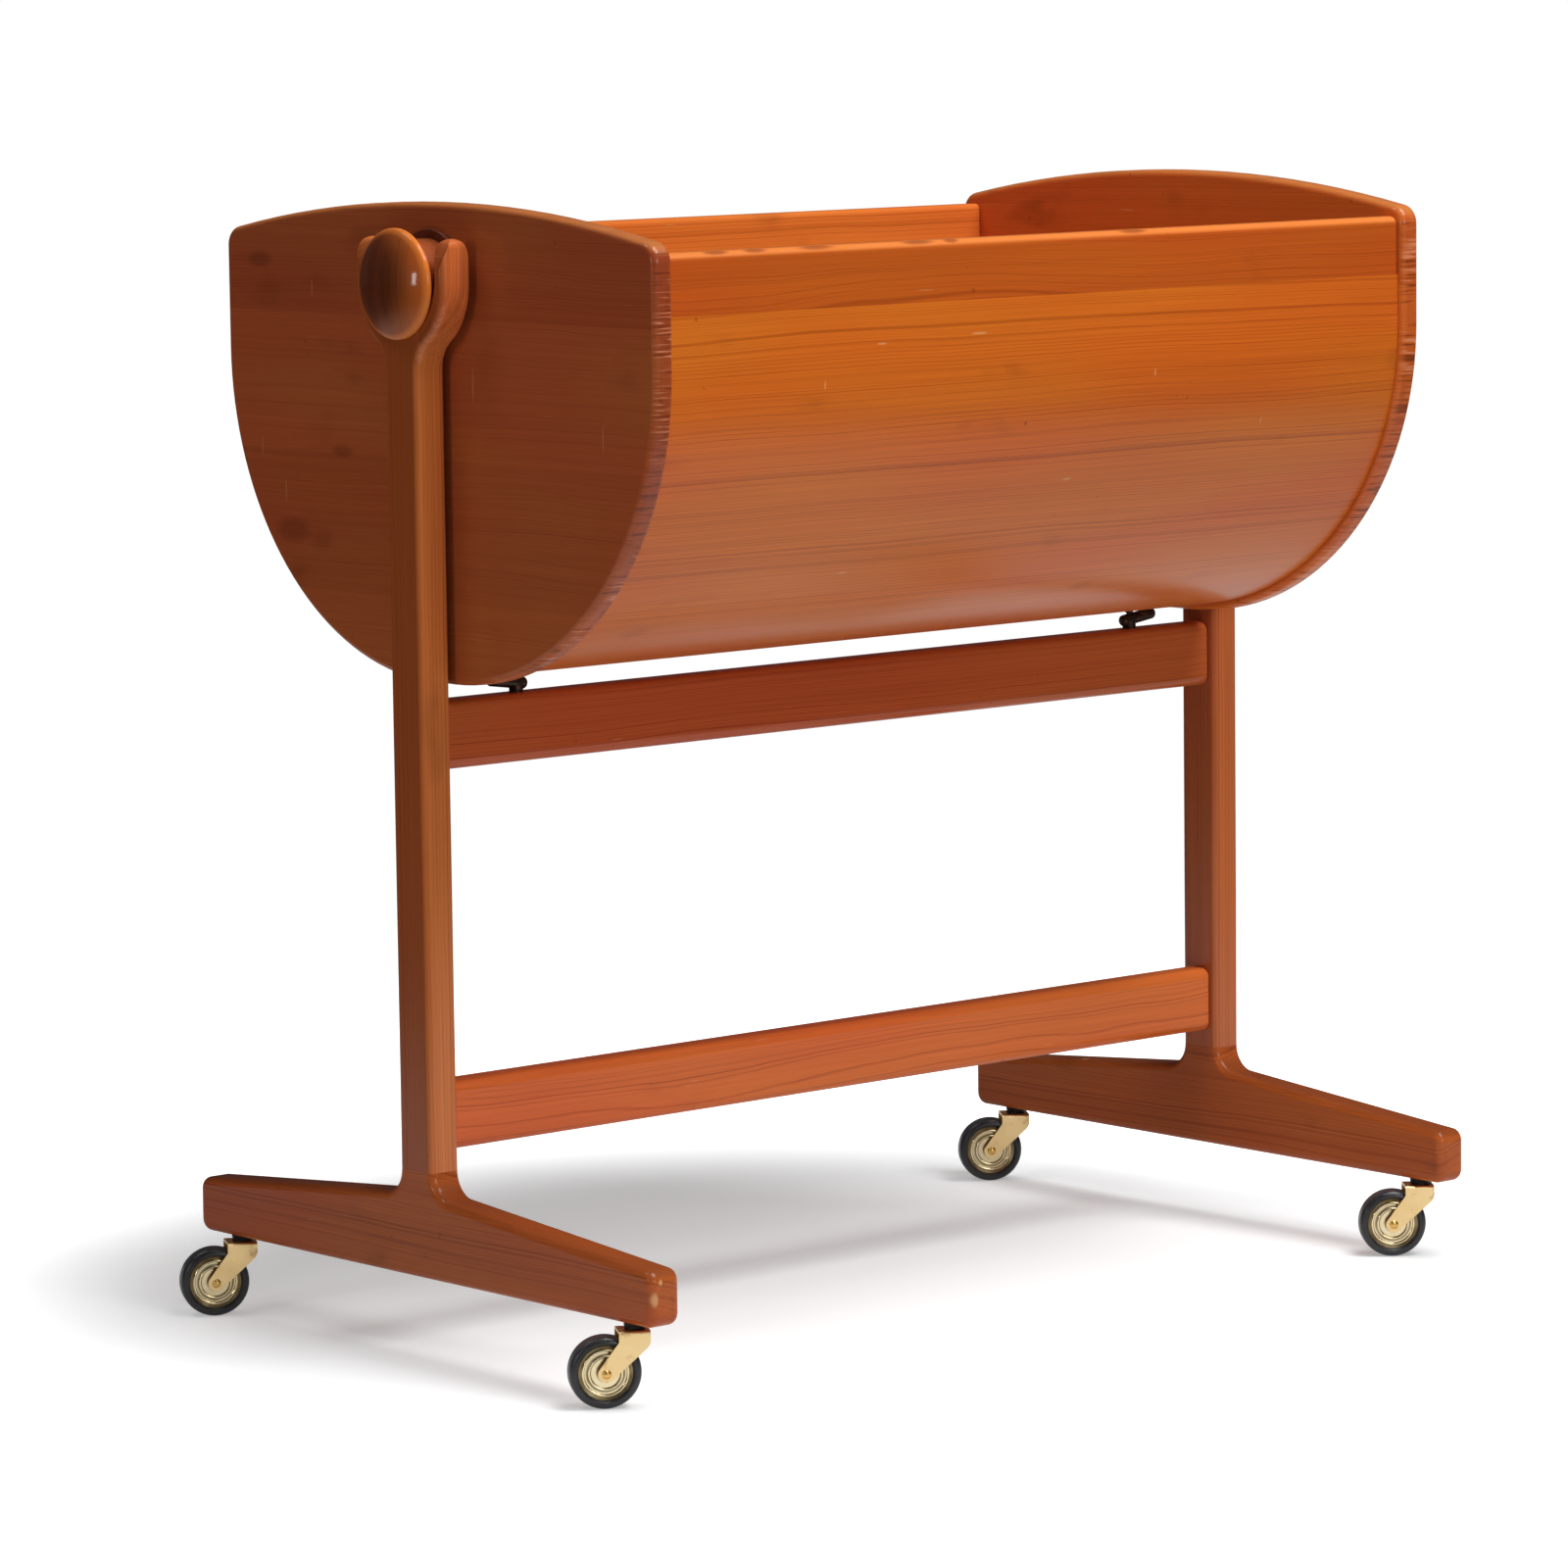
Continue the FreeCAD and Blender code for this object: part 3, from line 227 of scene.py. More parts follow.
class Shade(Tree):
    """One material with a plain glossy surface."""

    def __init__(self, name):
        self.material = bpy.data.materials.new(name)
        super().__init__(self.material)
        coords = self.add("ShaderNodeTexCoord")
        self.where = coords.outputs["Object"]
        self.normal = coords.outputs["Normal"]
        self.surface = self.add("ShaderNodeBsdfPrincipled")
        output = self.add("ShaderNodeOutputMaterial")
        self.tree.links.new(self.surface.outputs["BSDF"], output.inputs["Surface"])

    def even_noise(self, scale, **settings):
        """Noise that is alike in every direction."""
        return self.noise(self.where, (scale, scale, scale), **settings)

    def bump(self, height, distance):
        node = self.add("ShaderNodeBump")
        node.inputs["Distance"].default_value = distance
        self.feed(node.inputs["Height"], height)
        self.feed(self.surface.inputs["Normal"], node.outputs["Normal"])

    def set(self, **values):
        """Sets the surface's sockets, whose names are written in small letters here."""
        for name, value in values.items():
            self.feed(self.surface.inputs[name.replace("_", " ").title().replace("Ior", "IOR")], value)

    def facing_square(self, axis):
        """1 on the faces that look along the axis, 0 on those that lie along it."""
        facing = self.split(self.normal)[AXES.index(axis)]
        return self.times(facing, facing)

    def edge_mask(self, axis):
        """1 on the rounded edges between the faces that look along the axis and the rest."""
        square = self.facing_square(axis)
        quarter_at_most = self.times(square, self.minus(1.0, square))
        return self.times(quarter_at_most, 4.0, clamp=True)

    def end_mask(self, axis):
        """1 on the faces that look along the axis, and soon less where they turn away."""
        square = self.facing_square(axis)
        return self.times(square, square)

    def spot_mask(self, spots):
        """1 in the middle of soft oval spots, each with a centre and three radii."""
        total = 0.0
        for centre, radii in spots:
            out = self.vector("SUBTRACT", self.where, centre)
            scaled = self.vector("MULTIPLY", out, tuple(1.0 / radius for radius in radii))
            total = self.most(total, self.fall(self.length(scaled), SPOT_FADE))
        return total


def stretched(along, with_grain, across):
    """Scale for noise that runs with the grain."""
    return tuple(with_grain if axis == along else across for axis in AXES)


class Grain(NamedTuple):
    """Noise that runs with the grain: blots per metre with it and across it."""
    lengthwise: float
    across: float
    detail: float = 2.0
    roughness: float = 0.5


DRIFT = Grain(2.6, 8.0)
RIPPLE = Grain(14.0, 70.0)
FIBRES = Grain(6.0, 620.0, detail=3.0, roughness=0.6)
STREAKS = Grain(1.5, 130.0, detail=3.0)
BROAD = Grain(2.0, 7.0)
BLOTS = Grain(9.0, 20.0, detail=3.0)
WARMTH = Grain(3.0, 12.0, detail=1.0)

# Wander of the rings that goes into their ripples
RIPPLE_SHARE = 0.08

# Year rings: how their widths and late wood vary
BOARD_RINGS = 37.0
WIDTH_NOISE_SCALE = 0.35
WIDTH_RINGS = 3.0
LATE_WOOD_STARTS = (0.62, 0.90)
LATE_WOOD_ENDS = (0.92, 1.0)
LATE_WOOD_LEAST = 0.30
LATE_WOOD_LUCK = 0.70

# Depth of the wood's colour between light and dark
MIDDLE_LEVEL = 0.5
BASE_DEPTH = 0.22
BROAD_TONE = 1.2
BOARD_TONE = 0.35
SHADOW_DEPTH = 0.75
WARM_LEVELS = (0.35, 0.65)

# End grain: dark rows and pale lines, where the year rings come out
ROW_SCALE = (25.0, 25.0, 480.0)
ROW_LEVELS = (0.34, 0.46)
END_LINE_LEVELS = (0.54, 0.64)
END_LINE_PATCHES = (0.42, 0.58)
END_WEIGHT = 0.60

# Faces and marks: painted light and shade on the upper faces, a painted highlight on a turned rim, stains,
# smudges and knots
TOP_SHADING_WIDTH = 0.5
TOP_SHADING_WEIGHT = 0.75
RIM_HIGHLIGHT_WEIGHT = 0.6
STAIN_LEVELS = (0.62, 0.80)
STAIN_WEIGHT = 0.35
SMUDGE_WEIGHT = 0.35
KNOT_WEIGHT = 0.60

# Wear: pale edges, small scratches and dark specks
WORN_LEVELS = (0.42, 0.62)
WORN_WEIGHT = 0.18
SCRATCH_SCALE = (31.0, 23.0, 420.0)
SCRATCH_LEVELS = (0.755, 0.80)
PATCH_SCALE = (7.0, 9.0, 8.0)
SCRATCH_PATCHES = (0.50, 0.62)
SPECK_SCALE = (170.0, 170.0, 170.0)
SPECK_LEVELS = (0.82, 0.86)
SPECK_PATCHES = (0.54, 0.60)
SPECK_WEIGHT = 0.3

# Lacquer and relief
WOOD_ROUGH = 0.36
WOOD_ROUGH_BLOTS = 0.16
WOOD_SPECULAR = 0.05
LACQUER_IOR = 1.5
BROAD_RELIEF = 0.8
LINE_RELIEF = 0.08
SCRATCH_RELIEF = 0.25


@dataclass
class Look:
    """How one piece of wood is cut and finished."""
    # light and dark wood
    colours: tuple
    # axis of the grain, a place on the middle line of the log, and the width of a year ring
    along: str
    pith: tuple
    ring: float
    # worn edges lie beside the faces that look along this axis
    edge: str = "X"
    # a sheet whose grain follows its bend
    bent: bool = False
    # start and height of glued boards
    boards: tuple = ()
    # how far the rings stray
    wander: float = 0.01
    # strengths of the year lines, the broad shades and the fibres
    lines: float = 0.7
    tone: float = 0.5
    fibre: float = 0.25
    # how much darker the end grain is, and how strong the painted shade on the faces along X is
    end_dark: float = 0.0
    side_dark: float = 0.0
    # colour of the painted light and shade on the upper faces, and the upward part of the normal from
    # which they take it
    top: tuple = ()
    top_from: float = 0.25
    # middle of a turned piece, the radii between which its rim sets in, and the colour of the rim's
    # painted highlight
    turned_rim: tuple = ()
    # roughness and weight of the lacquer's coat, and strength of the small scratches
    gloss: float = 0.14
    coat: float = 0.5
    scratches: float = 0.3
    # soft oval spots, each with its centre and radii
    # shadows are spots of painted shade; smudges, knots and nicks are marks of the wood
    shadows: tuple = ()
    smudges: tuple = ()
    knots: tuple = ()
    nicks: tuple = ()
    # strength of the nicks, and depth of the relief
    nick_depth: float = 0.45
    relief_depth: float = 0.0005
    # moves all noise but that of the rings
    seed: float = 0.0


class Wood(Shade):
    """Lacquered wood with year rings, fibres, marks and wear."""

    def __init__(self, name, look):
        super().__init__(name)
        self.look = look
        self.light, self.dark = look.colours
        # the rings take the place as it is, and what follows takes it moved by the seed
        self.place = self.shell_place() if look.bent else self.where
        self.late, self.luck = self.year_rings()
        self.place = self.vector("ADD", self.place, (look.seed, look.seed, look.seed))
        self.broad = self.grain(BROAD)
        self.blots = self.grain(BLOTS)
        self.patches = self.noise(self.place, PATCH_SCALE, detail=1.0)
        scratch = self.scratches()
        colour = self.warmed(self.mix(self.depth(), self.light, self.dark))
        if look.end_dark:
            colour = self.end_grain(colour)
        colour = self.marks(self.faces(colour))
        self.lacquer(self.wear(colour, scratch), scratch)

    def grain(self, kind, out="Fac"):
        scale = stretched(self.look.along, kind.lengthwise, kind.across)
        return self.noise(self.place, scale, detail=kind.detail, roughness=kind.roughness, out=out)

    def shell_place(self):
        """Place on the bent sheet: along X and along the bend."""
        x, y, z = self.split(self.where)
        side = self.math("SIGN", y)
        aside = self.minus(self.math("ABSOLUTE", y), CORNER_PLACE)
        below = self.minus(CORNER_HEIGHT, z)
        down = self.most(below, LEAST_DROP)
        up = self.most(self.times(below, -1.0), 0.0)
        angle = self.math("ARCTAN2", aside, down)
        run = self.plus(self.times(angle, CORNER_ROUND), up)
        return self.join(x, self.times(run, side), 0.0)

    def shaken(self, place, kind, amount):
        """The place, moved by soft random values that run with the grain."""
        drift = self.vector("SUBTRACT", self.grain(kind, out="Color"), (MIDDLE_LEVEL,) * 3)
        return self.vector("ADD", place, self.vector("SCALE", drift, amount))

    def year_rings(self):
        """Late wood of the year rings, 0 to 1, and a random level for each board."""
        look = self.look
        place = self.shaken(self.place, DRIFT, look.wander)
        place = self.shaken(place, RIPPLE, look.wander * RIPPLE_SHARE)
        offsets = [self.minus(part, start)
                   for part, start, axis in zip(self.split(place), look.pith, AXES)
                   if axis != look.along]
        squares = [self.times(part, part) for part in offsets]
        count = self.math("DIVIDE", self.math("SQRT", self.plus(*squares)), look.ring)
        luck = MIDDLE_LEVEL
        if look.boards:
            start, height = look.boards
            rise = self.minus(self.split(self.place)[2], start)
            luck = self.chance(self.math("FLOOR", self.math("DIVIDE", rise, height)))
            count = self.plus(count, self.times(luck, BOARD_RINGS))
        widths = self.add("ShaderNodeTexNoise", noise_dimensions="1D")
        self.feed(widths.inputs["W"], count)
        widths.inputs["Scale"].default_value = WIDTH_NOISE_SCALE
        widths.inputs["Detail"].default_value = 1.0
        count = self.plus(count, self.times(widths.outputs["Fac"], WIDTH_RINGS))
        year = self.math("FLOOR", count)
        season = self.minus(count, year)
        late = self.times(self.rise(season, LATE_WOOD_STARTS), self.fall(season, LATE_WOOD_ENDS))
        year_luck = self.chance(year)
        strength = self.line(self.times(year_luck, year_luck), LATE_WOOD_LUCK, LATE_WOOD_LEAST)
        return self.times(late, strength), luck

    def depth(self):
        """0 for light wood, 1 for dark."""
        look = self.look
        layers = ((self.grain(FIBRES), look.fibre), (self.grain(STREAKS), look.tone),
                  (self.broad, look.tone * BROAD_TONE), (self.luck, BOARD_TONE if look.boards else 0.0))
        depth = self.times(self.late, look.lines)
        for layer, weight in layers:
            depth = self.plus(depth, self.times(self.minus(layer, MIDDLE_LEVEL), weight))
        # painted shade: the shadow spots push the colour towards the dark wood
        if look.shadows:
            depth = self.plus(depth, self.times(self.spot_mask(look.shadows), SHADOW_DEPTH))
        return self.plus(depth, BASE_DEPTH, clamp=True)

    def warmed(self, colour):
        """Broad shifts between a redder and a yellower brown."""
        warm = self.rise(self.grain(WARMTH), WARM_LEVELS)
        return self.mix(1.0, colour, self.mix(warm, YELLOWER, REDDER), "MULTIPLY")

    def end_grain(self, colour):
        """Darker across the grain, with dark rows and pale worn lines."""
        colour = self.over(colour, self.end_mask(self.look.along), self.look.end_dark, self.dark)
        rows = self.noise(self.place, ROW_SCALE)
        rim = self.minus(1.0, self.end_mask("X"))
        cut = self.times(self.fall(rows, ROW_LEVELS), rim)
        colour = self.over(colour, cut, END_WEIGHT, STAIN)
        pale = self.times(self.rise(rows, END_LINE_LEVELS), self.rise(self.blots, END_LINE_PATCHES))
        return self.over(colour, self.times(pale, rim), END_WEIGHT, END_LINE)

    def faces(self, colour):
        """Painted shade on the sides, painted light and shade on the top, partly worn wood on the rail's
        top, and the painted highlight on the turned rim.
        """
        look = self.look
        # painted shade: the faces along X are darkened towards the dark wood
        if look.side_dark:
            colour = self.over(colour, self.end_mask("X"), look.side_dark, self.dark)
        # painted light and shade: as they face up, the upper faces take a lighter colour on the panel and
        # rail and a darker one on the foot
        if look.top:
            upward = self.rise(self.split(self.normal)[2], (look.top_from, look.top_from + TOP_SHADING_WIDTH))
            colour = self.over(colour, upward, TOP_SHADING_WEIGHT, look.top)
        # painted highlight: the turned rim takes a lighter colour all round
        if look.turned_rim:
            middle, limits, highlight_colour = look.turned_rim
            out = self.vector("MULTIPLY", self.vector("SUBTRACT", self.where, middle), SQUARE_TO_X)
            colour = self.over(colour, self.rise(self.length(out), limits), RIM_HIGHLIGHT_WEIGHT, highlight_colour)
        return colour

    def marks(self, colour):
        """Stains all over, and the smudges and knots at their places."""
        look = self.look
        colour = self.over(colour, self.rise(self.blots, STAIN_LEVELS), STAIN_WEIGHT, STAIN)
        if look.smudges:
            colour = self.over(colour, self.spot_mask(look.smudges), SMUDGE_WEIGHT, STAIN)
        if look.knots:
            colour = self.over(colour, self.spot_mask(look.knots), KNOT_WEIGHT, KNOT)
        return colour

    def scratches(self):
        """Small scratches all over, and the nicks at their places."""
        look = self.look
        cuts = self.noise(self.place, SCRATCH_SCALE, detail=1.0)
        scratch = self.times(self.rise(cuts, SCRATCH_LEVELS), self.rise(self.patches, SCRATCH_PATCHES))
        scratch = self.times(scratch, look.scratches)
        if look.nicks:
            scratch = self.most(scratch, self.times(self.spot_mask(look.nicks), look.nick_depth))
        return scratch

    def wear(self, colour, scratch):
        """Pale rounded edges, pale scratches and dark specks."""
        worn = self.times(self.edge_mask(self.look.edge), self.rise(self.blots, WORN_LEVELS))
        colour = self.over(colour, worn, WORN_WEIGHT, self.light)
        colour = self.mix(scratch, colour, SCRATCH)
        dots = self.noise(self.place, SPECK_SCALE, detail=0.0)
        speck = self.times(self.rise(dots, SPECK_LEVELS), self.rise(self.patches, SPECK_PATCHES))
        return self.over(colour, speck, SPECK_WEIGHT, STAIN)

    def lacquer(self, colour, scratch):
        """The surface under its coat, and its relief."""
        look = self.look
        rough = self.line(self.blots, WOOD_ROUGH_BLOTS, WOOD_ROUGH)
        self.set(base_color=colour, roughness=rough, specular_ior_level=WOOD_SPECULAR)
        self.set(coat_weight=look.coat, coat_roughness=look.gloss, coat_ior=LACQUER_IOR)
        relief = self.minus(self.times(self.broad, BROAD_RELIEF), self.times(self.late, LINE_RELIEF))
        relief = self.minus(relief, self.times(scratch, SCRATCH_RELIEF))
        self.bump(relief, look.relief_depth)


def wheel_radius(shade, wheel):
    """Distance from the wheel's axis."""
    joint = joints[wheel + "_wheel_spin"]
    centre = tuple(joint["pos_m"])
    axis = tuple(joint["axis"])
    out = shade.vector("SUBTRACT", shade.where, centre)
    along = shade.vector("DOT_PRODUCT", out, axis)
    return shade.length(shade.vector("SUBTRACT", out, shade.vector("SCALE", axis, along)))


def brass(name, colours):
    """Clouded brass plate with brown stains."""
    stain_levels = (0.56, 0.76)
    stain_weight = 0.6
    shade = Shade(name)
    stains = shade.even_noise(90.0, detail=4.0, roughness=0.6)
    cloud = shade.noise(shade.where, (35.0, 35.0, 60.0))
    colour = shade.mix(cloud, *colours)
    colour = shade.over(colour, shade.rise(stains, stain_levels), stain_weight, BRASS_STAIN)
    rough = shade.line(stains, gain=0.30, start=0.18)
    shade.set(base_color=colour, metallic=1.0, roughness=rough)
    shade.bump(stains, distance=0.00015)
    return shade.material


def rim_metal(name, wheel):
    """Pressed disc: bright ridges, and darker brown round the hub, in the hollow and at the lip."""
    # radii between which each zone comes or goes
    hub = (0.0050, 0.0075)
    hollow_starts = (0.0118, 0.0124)
    hollow_ends = (0.0134, 0.0140)
    lip = (0.0163, 0.0172)
    inner_brown_share = 0.75
    shade = Shade(name)
    radius = wheel_radius(shade, wheel)
    stains = shade.even_noise(120.0)
    colour = shade.mix(stains, *RIM_METAL)
    hollow = shade.times(shade.rise(radius, hollow_starts), shade.fall(radius, hollow_ends))
    inner = shade.times(shade.most(hollow, shade.fall(radius, hub)), inner_brown_share)
    brown_rings = shade.most(shade.rise(radius, lip), inner)
    brown_rings = shade.times(brown_rings, shade.line(stains, gain=0.6, start=0.5), clamp=True)
    colour = shade.mix(brown_rings, colour, RIM_BROWN_RINGS)
    rough = shade.line(brown_rings, gain=0.25, start=0.20)
    shade.set(base_color=colour, metallic=1.0, roughness=rough)
    shade.bump(stains, distance=0.00001)
    return shade.material


def rubber(name, wheel):
    """Black rubber, dusty, and greyer on the tread."""
    # radii between which the tread sets in
    tread = (0.0236, 0.0250)
    tread_weight = 0.5
    shade = Shade(name)
    radius = wheel_radius(shade, wheel)
    dust = shade.even_noise(240.0, detail=3.0, roughness=0.6)
    colour = shade.mix(dust, *RUBBER)
    colour = shade.over(colour, shade.rise(radius, tread), tread_weight, TREAD)
    rough = shade.line(dust, gain=0.26, start=0.20)
    shade.set(base_color=colour, roughness=rough, specular_ior_level=0.5)
    shade.bump(dust, distance=0.0002)
    return shade.material


def dark_metal(name, colours):
    """Dark metal with spots of rust or wear."""
    rust_levels = (0.45, 0.70)
    shade = Shade(name)
    spots = shade.even_noise(260.0, detail=3.0, roughness=0.6)
    colour = shade.mix(shade.rise(spots, rust_levels), *colours)
    rough = shade.line(spots, gain=0.35, start=0.28)
    shade.set(base_color=colour, metallic=0.75, roughness=rough)
    shade.bump(spots, distance=0.00015)
    return shade.material


def dress(material, *names):
    """Gives the material to CAD nodes."""
    for name in names:
        for item in nodes[name].material_slots:
            item.material = material


def dress_wood(name, *names, **settings):
    """Makes a wood of that name and gives it to CAD nodes."""
    dress(Wood(name, Look(**settings)).material, *names)


# Lower edge of an end panel's second board, and the height of a board
PANEL_BOARDS = (0.533, 0.0985)

# Marks read from the photo, each a centre and three radii. MARK_REACH is the radius into the piece.
MARK_REACH = 0.02
# painted shade: a dark spot painted in the middle of each knob's dome, with its centre and radii
KNOB_SHADOW_PLACE = (0.410, 0.011, 0.758)
KNOB_SHADOW_RADII = (0.05, 0.053, 0.058)
RAIL_EDGE_FRONT = -0.2302
RAIL_EDGE_HEIGHT = 0.7790
RAIL_KNOT_DEPTH = 0.0042
RAIL_KNOT_HEIGHT = 0.003


def panel_mark(back, up, width, height):
    """A mark on the outer face of the left end panel."""
    return (PANEL_FACE, back, up), (MARK_REACH, width, height)


def knob_shadow(way):
    """Painted shade in the middle of a knob's dome."""
    out, back, up = KNOB_SHADOW_PLACE
    return (way * out, back, up), KNOB_SHADOW_RADII


def rail_knot(along, length):
    """A knot on the upper front edge of the front rail."""
    return (along, RAIL_EDGE_FRONT, RAIL_EDGE_HEIGHT), (length, RAIL_KNOT_DEPTH, RAIL_KNOT_HEIGHT)


def shell_mark(along, back, up, length, height, reach=MARK_REACH):
    """A mark on the front of the shell."""
    return (along, back, up), (length, reach, height)


def foot_chip(along, back, up, length, height):
    """A chip in the front end of the left foot."""
    return (along, back, up), (length, MARK_REACH, height)


PANEL_SMUDGES = (
    panel_mark(0.199, 0.766, 0.020, 0.008),
    panel_mark(0.106, 0.633, 0.016, 0.006),
    panel_mark(0.165, 0.574, 0.026, 0.012),
)
PANEL_NICKS = (
    panel_mark(0.138, 0.747, 0.0010, 0.009),
    panel_mark(-0.043, 0.686, 0.0012, 0.018),
    panel_mark(-0.183, 0.655, 0.0010, 0.013),
    panel_mark(0.173, 0.602, 0.0010, 0.012),
    panel_mark(0.200, 0.632, 0.0010, 0.010),
)
KNOB_SHADOWS = (knob_shadow(-1), knob_shadow(1))
# painted highlight on the rim of each knob
KNOB_RIM_RADII = (0.0335, 0.0375)
KNOB_HIGHLIGHT_RIM = ((0.0, 0.0, PIVOT_HEIGHT), KNOB_RIM_RADII, KNOB_EDGE_HIGHLIGHT)
RAIL_KNOTS = (
    rail_knot(-0.306, 0.015),
    rail_knot(-0.271, 0.014),
    rail_knot(-0.216, 0.021),
    rail_knot(-0.123, 0.020),
    rail_knot(-0.092, 0.009),
    rail_knot(0.083, 0.018),
)
FOOT_CHIPS = (
    foot_chip(-0.3935, -0.2555, 0.0790, 0.0034, 0.0065),
    foot_chip(-0.3885, -0.2560, 0.0905, 0.0022, 0.0026),
)
SHELL_NICKS = (
    shell_mark(-0.211, -0.234, 0.685, 0.0009, 0.0045),
    shell_mark(-0.068, -0.234, 0.714, 0.0100, 0.0012),
    shell_mark(-0.159, -0.234, 0.711, 0.0060, 0.0010),
    shell_mark(0.103, -0.234, 0.678, 0.0012, 0.0040),
    shell_mark(0.217, -0.234, 0.637, 0.0010, 0.0060),
    shell_mark(-0.143, -0.19, 0.548, 0.0070, 0.0010, reach=0.05),
    shell_mark(0.035, -0.22, 0.605, 0.0060, 0.0012, reach=0.03),
)
SHELL_SPECKS = (
    shell_mark(-0.019, -0.234, 0.648, 0.0022, 0.0020),
    shell_mark(0.073, -0.22, 0.589, 0.0018, 0.0016, reach=0.03),
)


def dress_end(number, side, way):
    """End panel, post, foot, knob, shaft and collar of one end. The first end is near the camera."""
    near = number == 0
    dress_wood(side + "_panel_pine", side + "_end_panel",
               colours=PANEL_PINE if near else FAR_PANEL_PINE,
               along="Y", pith=(way * 0.50, 0.0, 0.10), ring=0.0026, boards=PANEL_BOARDS,
               wander=0.030, lines=0.32, tone=0.28, fibre=0.30, end_dark=0.65, top=PANEL_TOP_HIGHLIGHT, coat=0.42,
               smudges=PANEL_SMUDGES if near else (), nicks=PANEL_NICKS if near else (),
               nick_depth=0.2, seed=number * 1.7)
    # painted shade on the post's sides along X, stronger on the near post
    dress_wood(side + "_post_pine", side + "_post",
               colours=POST_PINE if near else FAR_POST_PINE,
               along="Z", pith=(way * 0.30, 0.06, 0.0), ring=0.0018,
               wander=0.008, lines=0.50, tone=0.34, fibre=0.60, side_dark=0.68 if near else 0.25,
               seed=number * 2.3)
    dress_wood(side + "_foot_pine", side + "_foot",
               colours=FOOT_PINE,
               along="Y", pith=(way * 0.43, 0.0, -0.05), ring=0.0018,
               wander=0.016, lines=0.60, tone=0.30, fibre=0.40, top=FOOT_TOP_SHADE, coat=0.3,
               nicks=FOOT_CHIPS if near else (), nick_depth=0.65, seed=number * 3.1)
    dress_wood(side + "_knob_pine", side + "_knob",
               colours=KNOB_PINE,
               along="Z", pith=(way * 0.46, 0.10, 0.0), ring=0.0022,
               wander=0.010, lines=0.18, tone=0.16, fibre=0.12, turned_rim=KNOB_HIGHLIGHT_RIM, gloss=0.09, coat=0.4,
               scratches=0.1, shadows=KNOB_SHADOWS, relief_depth=0.00006, seed=number * 1.1)
    dress_wood(side + "_shaft_pine", side + "_shaft",
               colours=SHAFT_PINE,
               along="X", pith=(0.0, 0.03, 0.80), ring=0.0024, wander=0.004, seed=number * 1.9)
    # painted shade: a darker wood for the collar
    dress_wood(side + "_shaded_collar_pine", side + "_collar",
               colours=SHADED_COLLAR_PINE,
               along="X", pith=(0.0, 0.03, 0.80), ring=0.0024, wander=0.004, coat=0.3, seed=number * 1.9)


def dress_trough():
    """The shell and the two rails."""
    dress_wood("shell_pine", "curved_shell",
               colours=SHELL_PINE,
               along="X", pith=(0.0, 0.0, 0.05), ring=0.0026, bent=True,
               wander=0.016, lines=0.62, tone=0.24, fibre=0.55, gloss=0.24, coat=0.52,
               knots=SHELL_SPECKS, nicks=SHELL_NICKS)
    dress_wood("front_rail_pine", "front_rail",
               colours=RAIL_PINE,
               along="X", pith=(0.0, -0.30, 0.70), ring=0.0024, edge="Z",
               wander=0.020, lines=0.50, tone=0.26, fibre=0.35, top=RAIL_TOP_HIGHLIGHT, top_from=0.12,
               knots=RAIL_KNOTS)
    dress_wood("back_rail_pine", "back_rail",
               colours=BACK_RAIL_PINE,
               along="X", pith=(0.0, 0.18, 0.50), ring=0.0026, edge="Z",
               wander=0.012, lines=0.55, tone=0.22, fibre=0.40, seed=2.9)


def dress_stretchers():
    """The two stretchers and the dowels."""
    dress_wood("upper_stretcher_pine", "upper_stretcher",
               colours=UPPER_PINE,
               along="X", pith=(0.0, 0.05, 0.30), ring=0.0024, edge="Z",
               wander=0.014, lines=0.52, tone=0.35, fibre=0.40, coat=0.45, seed=4.4)
    dress_wood("lower_stretcher_pine", "lower_stretcher",
               colours=LOWER_PINE,
               along="X", pith=(0.0, 0.09, 0.12), ring=0.0032, edge="Z",
               wander=0.024, lines=0.70, tone=0.30, fibre=0.40, coat=0.35, seed=6.2)
    dress_wood("dowel_beech", "stretcher_dowels", "foot_dowels", "rail_dowels",
               colours=DOWEL_BEECH,
               along="X", pith=(0.0, 0.1, 0.3), ring=0.0018, gloss=0.5, scratches=0.0)


def dress_metals():
    """The stop levers and the casters."""
    lever_finish = dark_metal("lever_metal", LEVER_METAL)
    for side, _ in SIDES:
        dress(lever_finish, side + "_lever_collar", side + "_lever_screw", side + "_stop_lever")
    black_finish = dark_metal("black_metal", BLACK_METAL)
    fork_finish = brass("brass", FORK_BRASS)
    shaded_axle_finish = brass("shaded_axle_brass", SHADED_AXLE_BRASS)
    for name in CASTERS:
        dress(black_finish, name + "_caster_socket", name + "_caster_pin")
        dress(fork_finish, name + "_caster_fork")
        # painted shade: the axles take the darker brass
        dress(shaded_axle_finish, name + "_caster_axle")
        dress(rim_metal(name + "_rim_metal", name), name + "_wheel_rim")
        dress(rubber(name + "_tyre", name), name + "_tyre")


for end_number, (end_side, end_way) in enumerate(SIDES):
    dress_end(end_number, end_side, end_way)
dress_trough()
dress_stretchers()
dress_metals()

# Floor: it takes the object's shadow, and is white to the camera further out.
# A circle is the pair of distances from the middle between which a level changes.
FLOOR_HALF = 12.0
FLOOR_TINT = (0.975, 1.0, 1.015)
SEEN_CIRCLE = (0.42, 0.76)
SEEN_GLOW = (0.33, 1.0)
MIRRORED_CIRCLE = (0.9, 2.0)
MIRRORED_GLOW = (0.20, 0.0)
PALE_CIRCLE = (1.2, 2.2)
PALE_LEVELS = (0.78, 0.10)


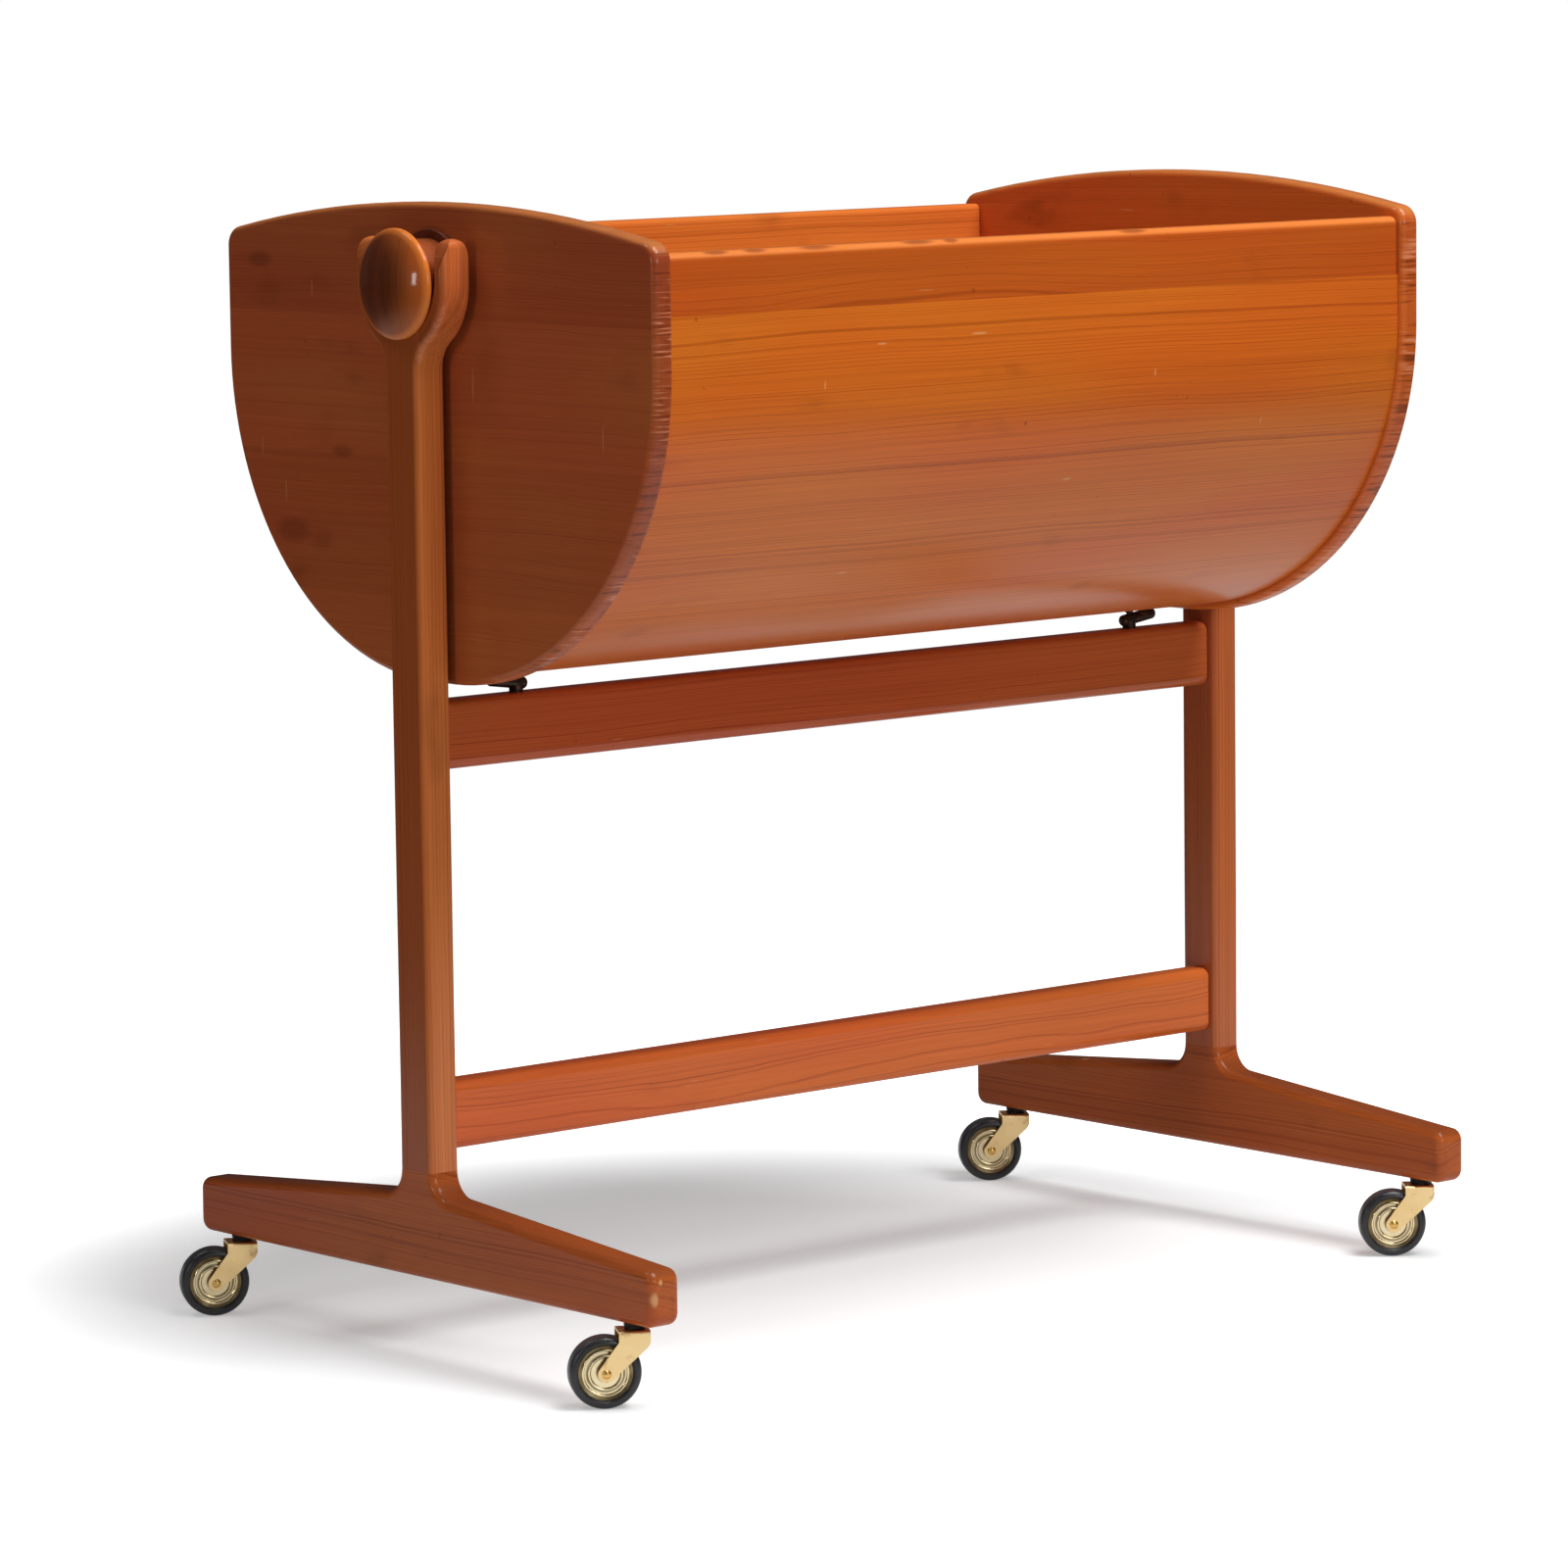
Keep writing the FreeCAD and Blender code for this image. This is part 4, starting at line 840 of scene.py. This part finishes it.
def floor_material():
    """Pale and matt, with a glow for the camera and a weaker one for reflections."""
    material = bpy.data.materials.new("floor")
    shade = Tree(material)
    output = shade.add("ShaderNodeOutputMaterial")
    coords = shade.add("ShaderNodeTexCoord")
    path = shade.add("ShaderNodeLightPath")
    reach = shade.add("ShaderNodeVectorMath", operation="LENGTH")
    shade.feed(reach.inputs[0], coords.outputs["Object"])
    far = reach.outputs["Value"]
    seen = shade.times(path.outputs["Is Camera Ray"], shade.span(far, SEEN_CIRCLE, *SEEN_GLOW))
    mirrored = shade.times(path.outputs["Is Glossy Ray"], shade.span(far, MIRRORED_CIRCLE, *MIRRORED_GLOW))
    glow = shade.add("ShaderNodeEmission")
    shade.feed(glow.inputs["Strength"], shade.plus(seen, mirrored))
    plain = shade.add("ShaderNodeBsdfDiffuse")
    pale = shade.span(far, PALE_CIRCLE, *PALE_LEVELS)
    shade.feed(plain.inputs["Color"], shade.vector("SCALE", FLOOR_TINT, pale))
    both = shade.add("ShaderNodeAddShader")
    shade.feed(both.inputs[0], glow.outputs[0])
    shade.feed(both.inputs[1], plain.outputs[0])
    shade.feed(output.inputs["Surface"], both.outputs[0])
    return material


def make_floor():
    """A square floor at height zero."""
    corners = [(x * FLOOR_HALF, y * FLOOR_HALF, 0.0) for x, y in ((-1, -1), (1, -1), (1, 1), (-1, 1))]
    mesh = bpy.data.meshes.new("floor")
    mesh.from_pydata(corners, [], [(0, 1, 2, 3)])
    mesh.materials.append(floor_material())
    item = bpy.data.objects.new("floor", mesh)
    bpy.context.scene.collection.objects.link(item)
    return item


floor = make_floor()

# World: white to the camera, a weak even light to the object
WORLD_LIGHT = 0.05


def studio_world():
    """Two levels of white, one for the camera and one for all else."""
    world = bpy.data.worlds.new("studio")
    sky = Tree(world)
    output = sky.add("ShaderNodeOutputWorld")
    path = sky.add("ShaderNodeLightPath")
    level = sky.add("ShaderNodeMapRange")
    sky.feed(level.inputs["Value"], path.outputs["Is Camera Ray"])
    level.inputs["To Min"].default_value = WORLD_LIGHT
    level.inputs["To Max"].default_value = 1.0
    background = sky.add("ShaderNodeBackground")
    background.inputs["Color"].default_value = WHITE
    sky.feed(background.inputs["Strength"], level.outputs["Result"])
    sky.feed(output.inputs["Surface"], background.outputs[0])
    return world


bpy.context.scene.world = studio_world()


def soft_light(name, place, target, width, height, power):
    """A rectangular lamp that looks at its target."""
    lamp = bpy.data.lights.new(name, "AREA")
    lamp.shape = "RECTANGLE"
    lamp.size = width
    lamp.size_y = height
    lamp.energy = power
    item = bpy.data.objects.new(name, lamp)
    bpy.context.scene.collection.objects.link(item)
    item.location = place
    item.rotation_mode = "QUATERNION"
    item.rotation_quaternion = (Vector(target) - Vector(place)).to_track_quat("-Z", "Y")


MIDDLE = (0.0, 0.0, 0.5)
LEFT_KNOB = (-0.4, 0.0, 0.76)
soft_light("key", place=(0.45, -1.3, 3.2), target=MIDDLE, width=2.0, height=1.7, power=112.0)
soft_light("front", place=(-0.6, -3.3, 1.3), target=MIDDLE, width=1.4, height=1.0, power=26.0)
soft_light("left", place=(-1.5, 0.9, 3.0), target=MIDDLE, width=0.9, height=0.9, power=13.0)
soft_light("window", place=(-2.9, -0.1, 0.97), target=LEFT_KNOB, width=0.22, height=0.56, power=7.5)


def photo_camera():
    """The camera that took the photograph, as fitted to the object's outlines."""
    ahead = Vector((math.sin(CAMERA_YAW) * math.cos(CAMERA_PITCH),
                    math.cos(CAMERA_YAW) * math.cos(CAMERA_PITCH),
                    -math.sin(CAMERA_PITCH)))
    level_right = Vector((math.cos(CAMERA_YAW), -math.sin(CAMERA_YAW), 0.0))
    level_up = level_right.cross(ahead)
    right = level_right * math.cos(CAMERA_ROLL) + level_up * math.sin(CAMERA_ROLL)
    upward = level_up * math.cos(CAMERA_ROLL) - level_right * math.sin(CAMERA_ROLL)
    data = bpy.data.cameras.new("photo_camera")
    data.lens = CAMERA_LENS
    data.sensor_width = CAMERA_SENSOR
    camera = bpy.data.objects.new("photo_camera", data)
    bpy.context.scene.collection.objects.link(camera)
    camera.matrix_world = Matrix.Translation(CAMERA_PLACE) @ Matrix((
        (right.x, upward.x, -ahead.x, 0.0),
        (right.y, upward.y, -ahead.y, 0.0),
        (right.z, upward.z, -ahead.z, 0.0),
        (0.0, 0.0, 0.0, 1.0),
    ))
    return camera


bpy.context.scene.camera = photo_camera()
bpy.context.scene.view_settings.view_transform = "Standard"
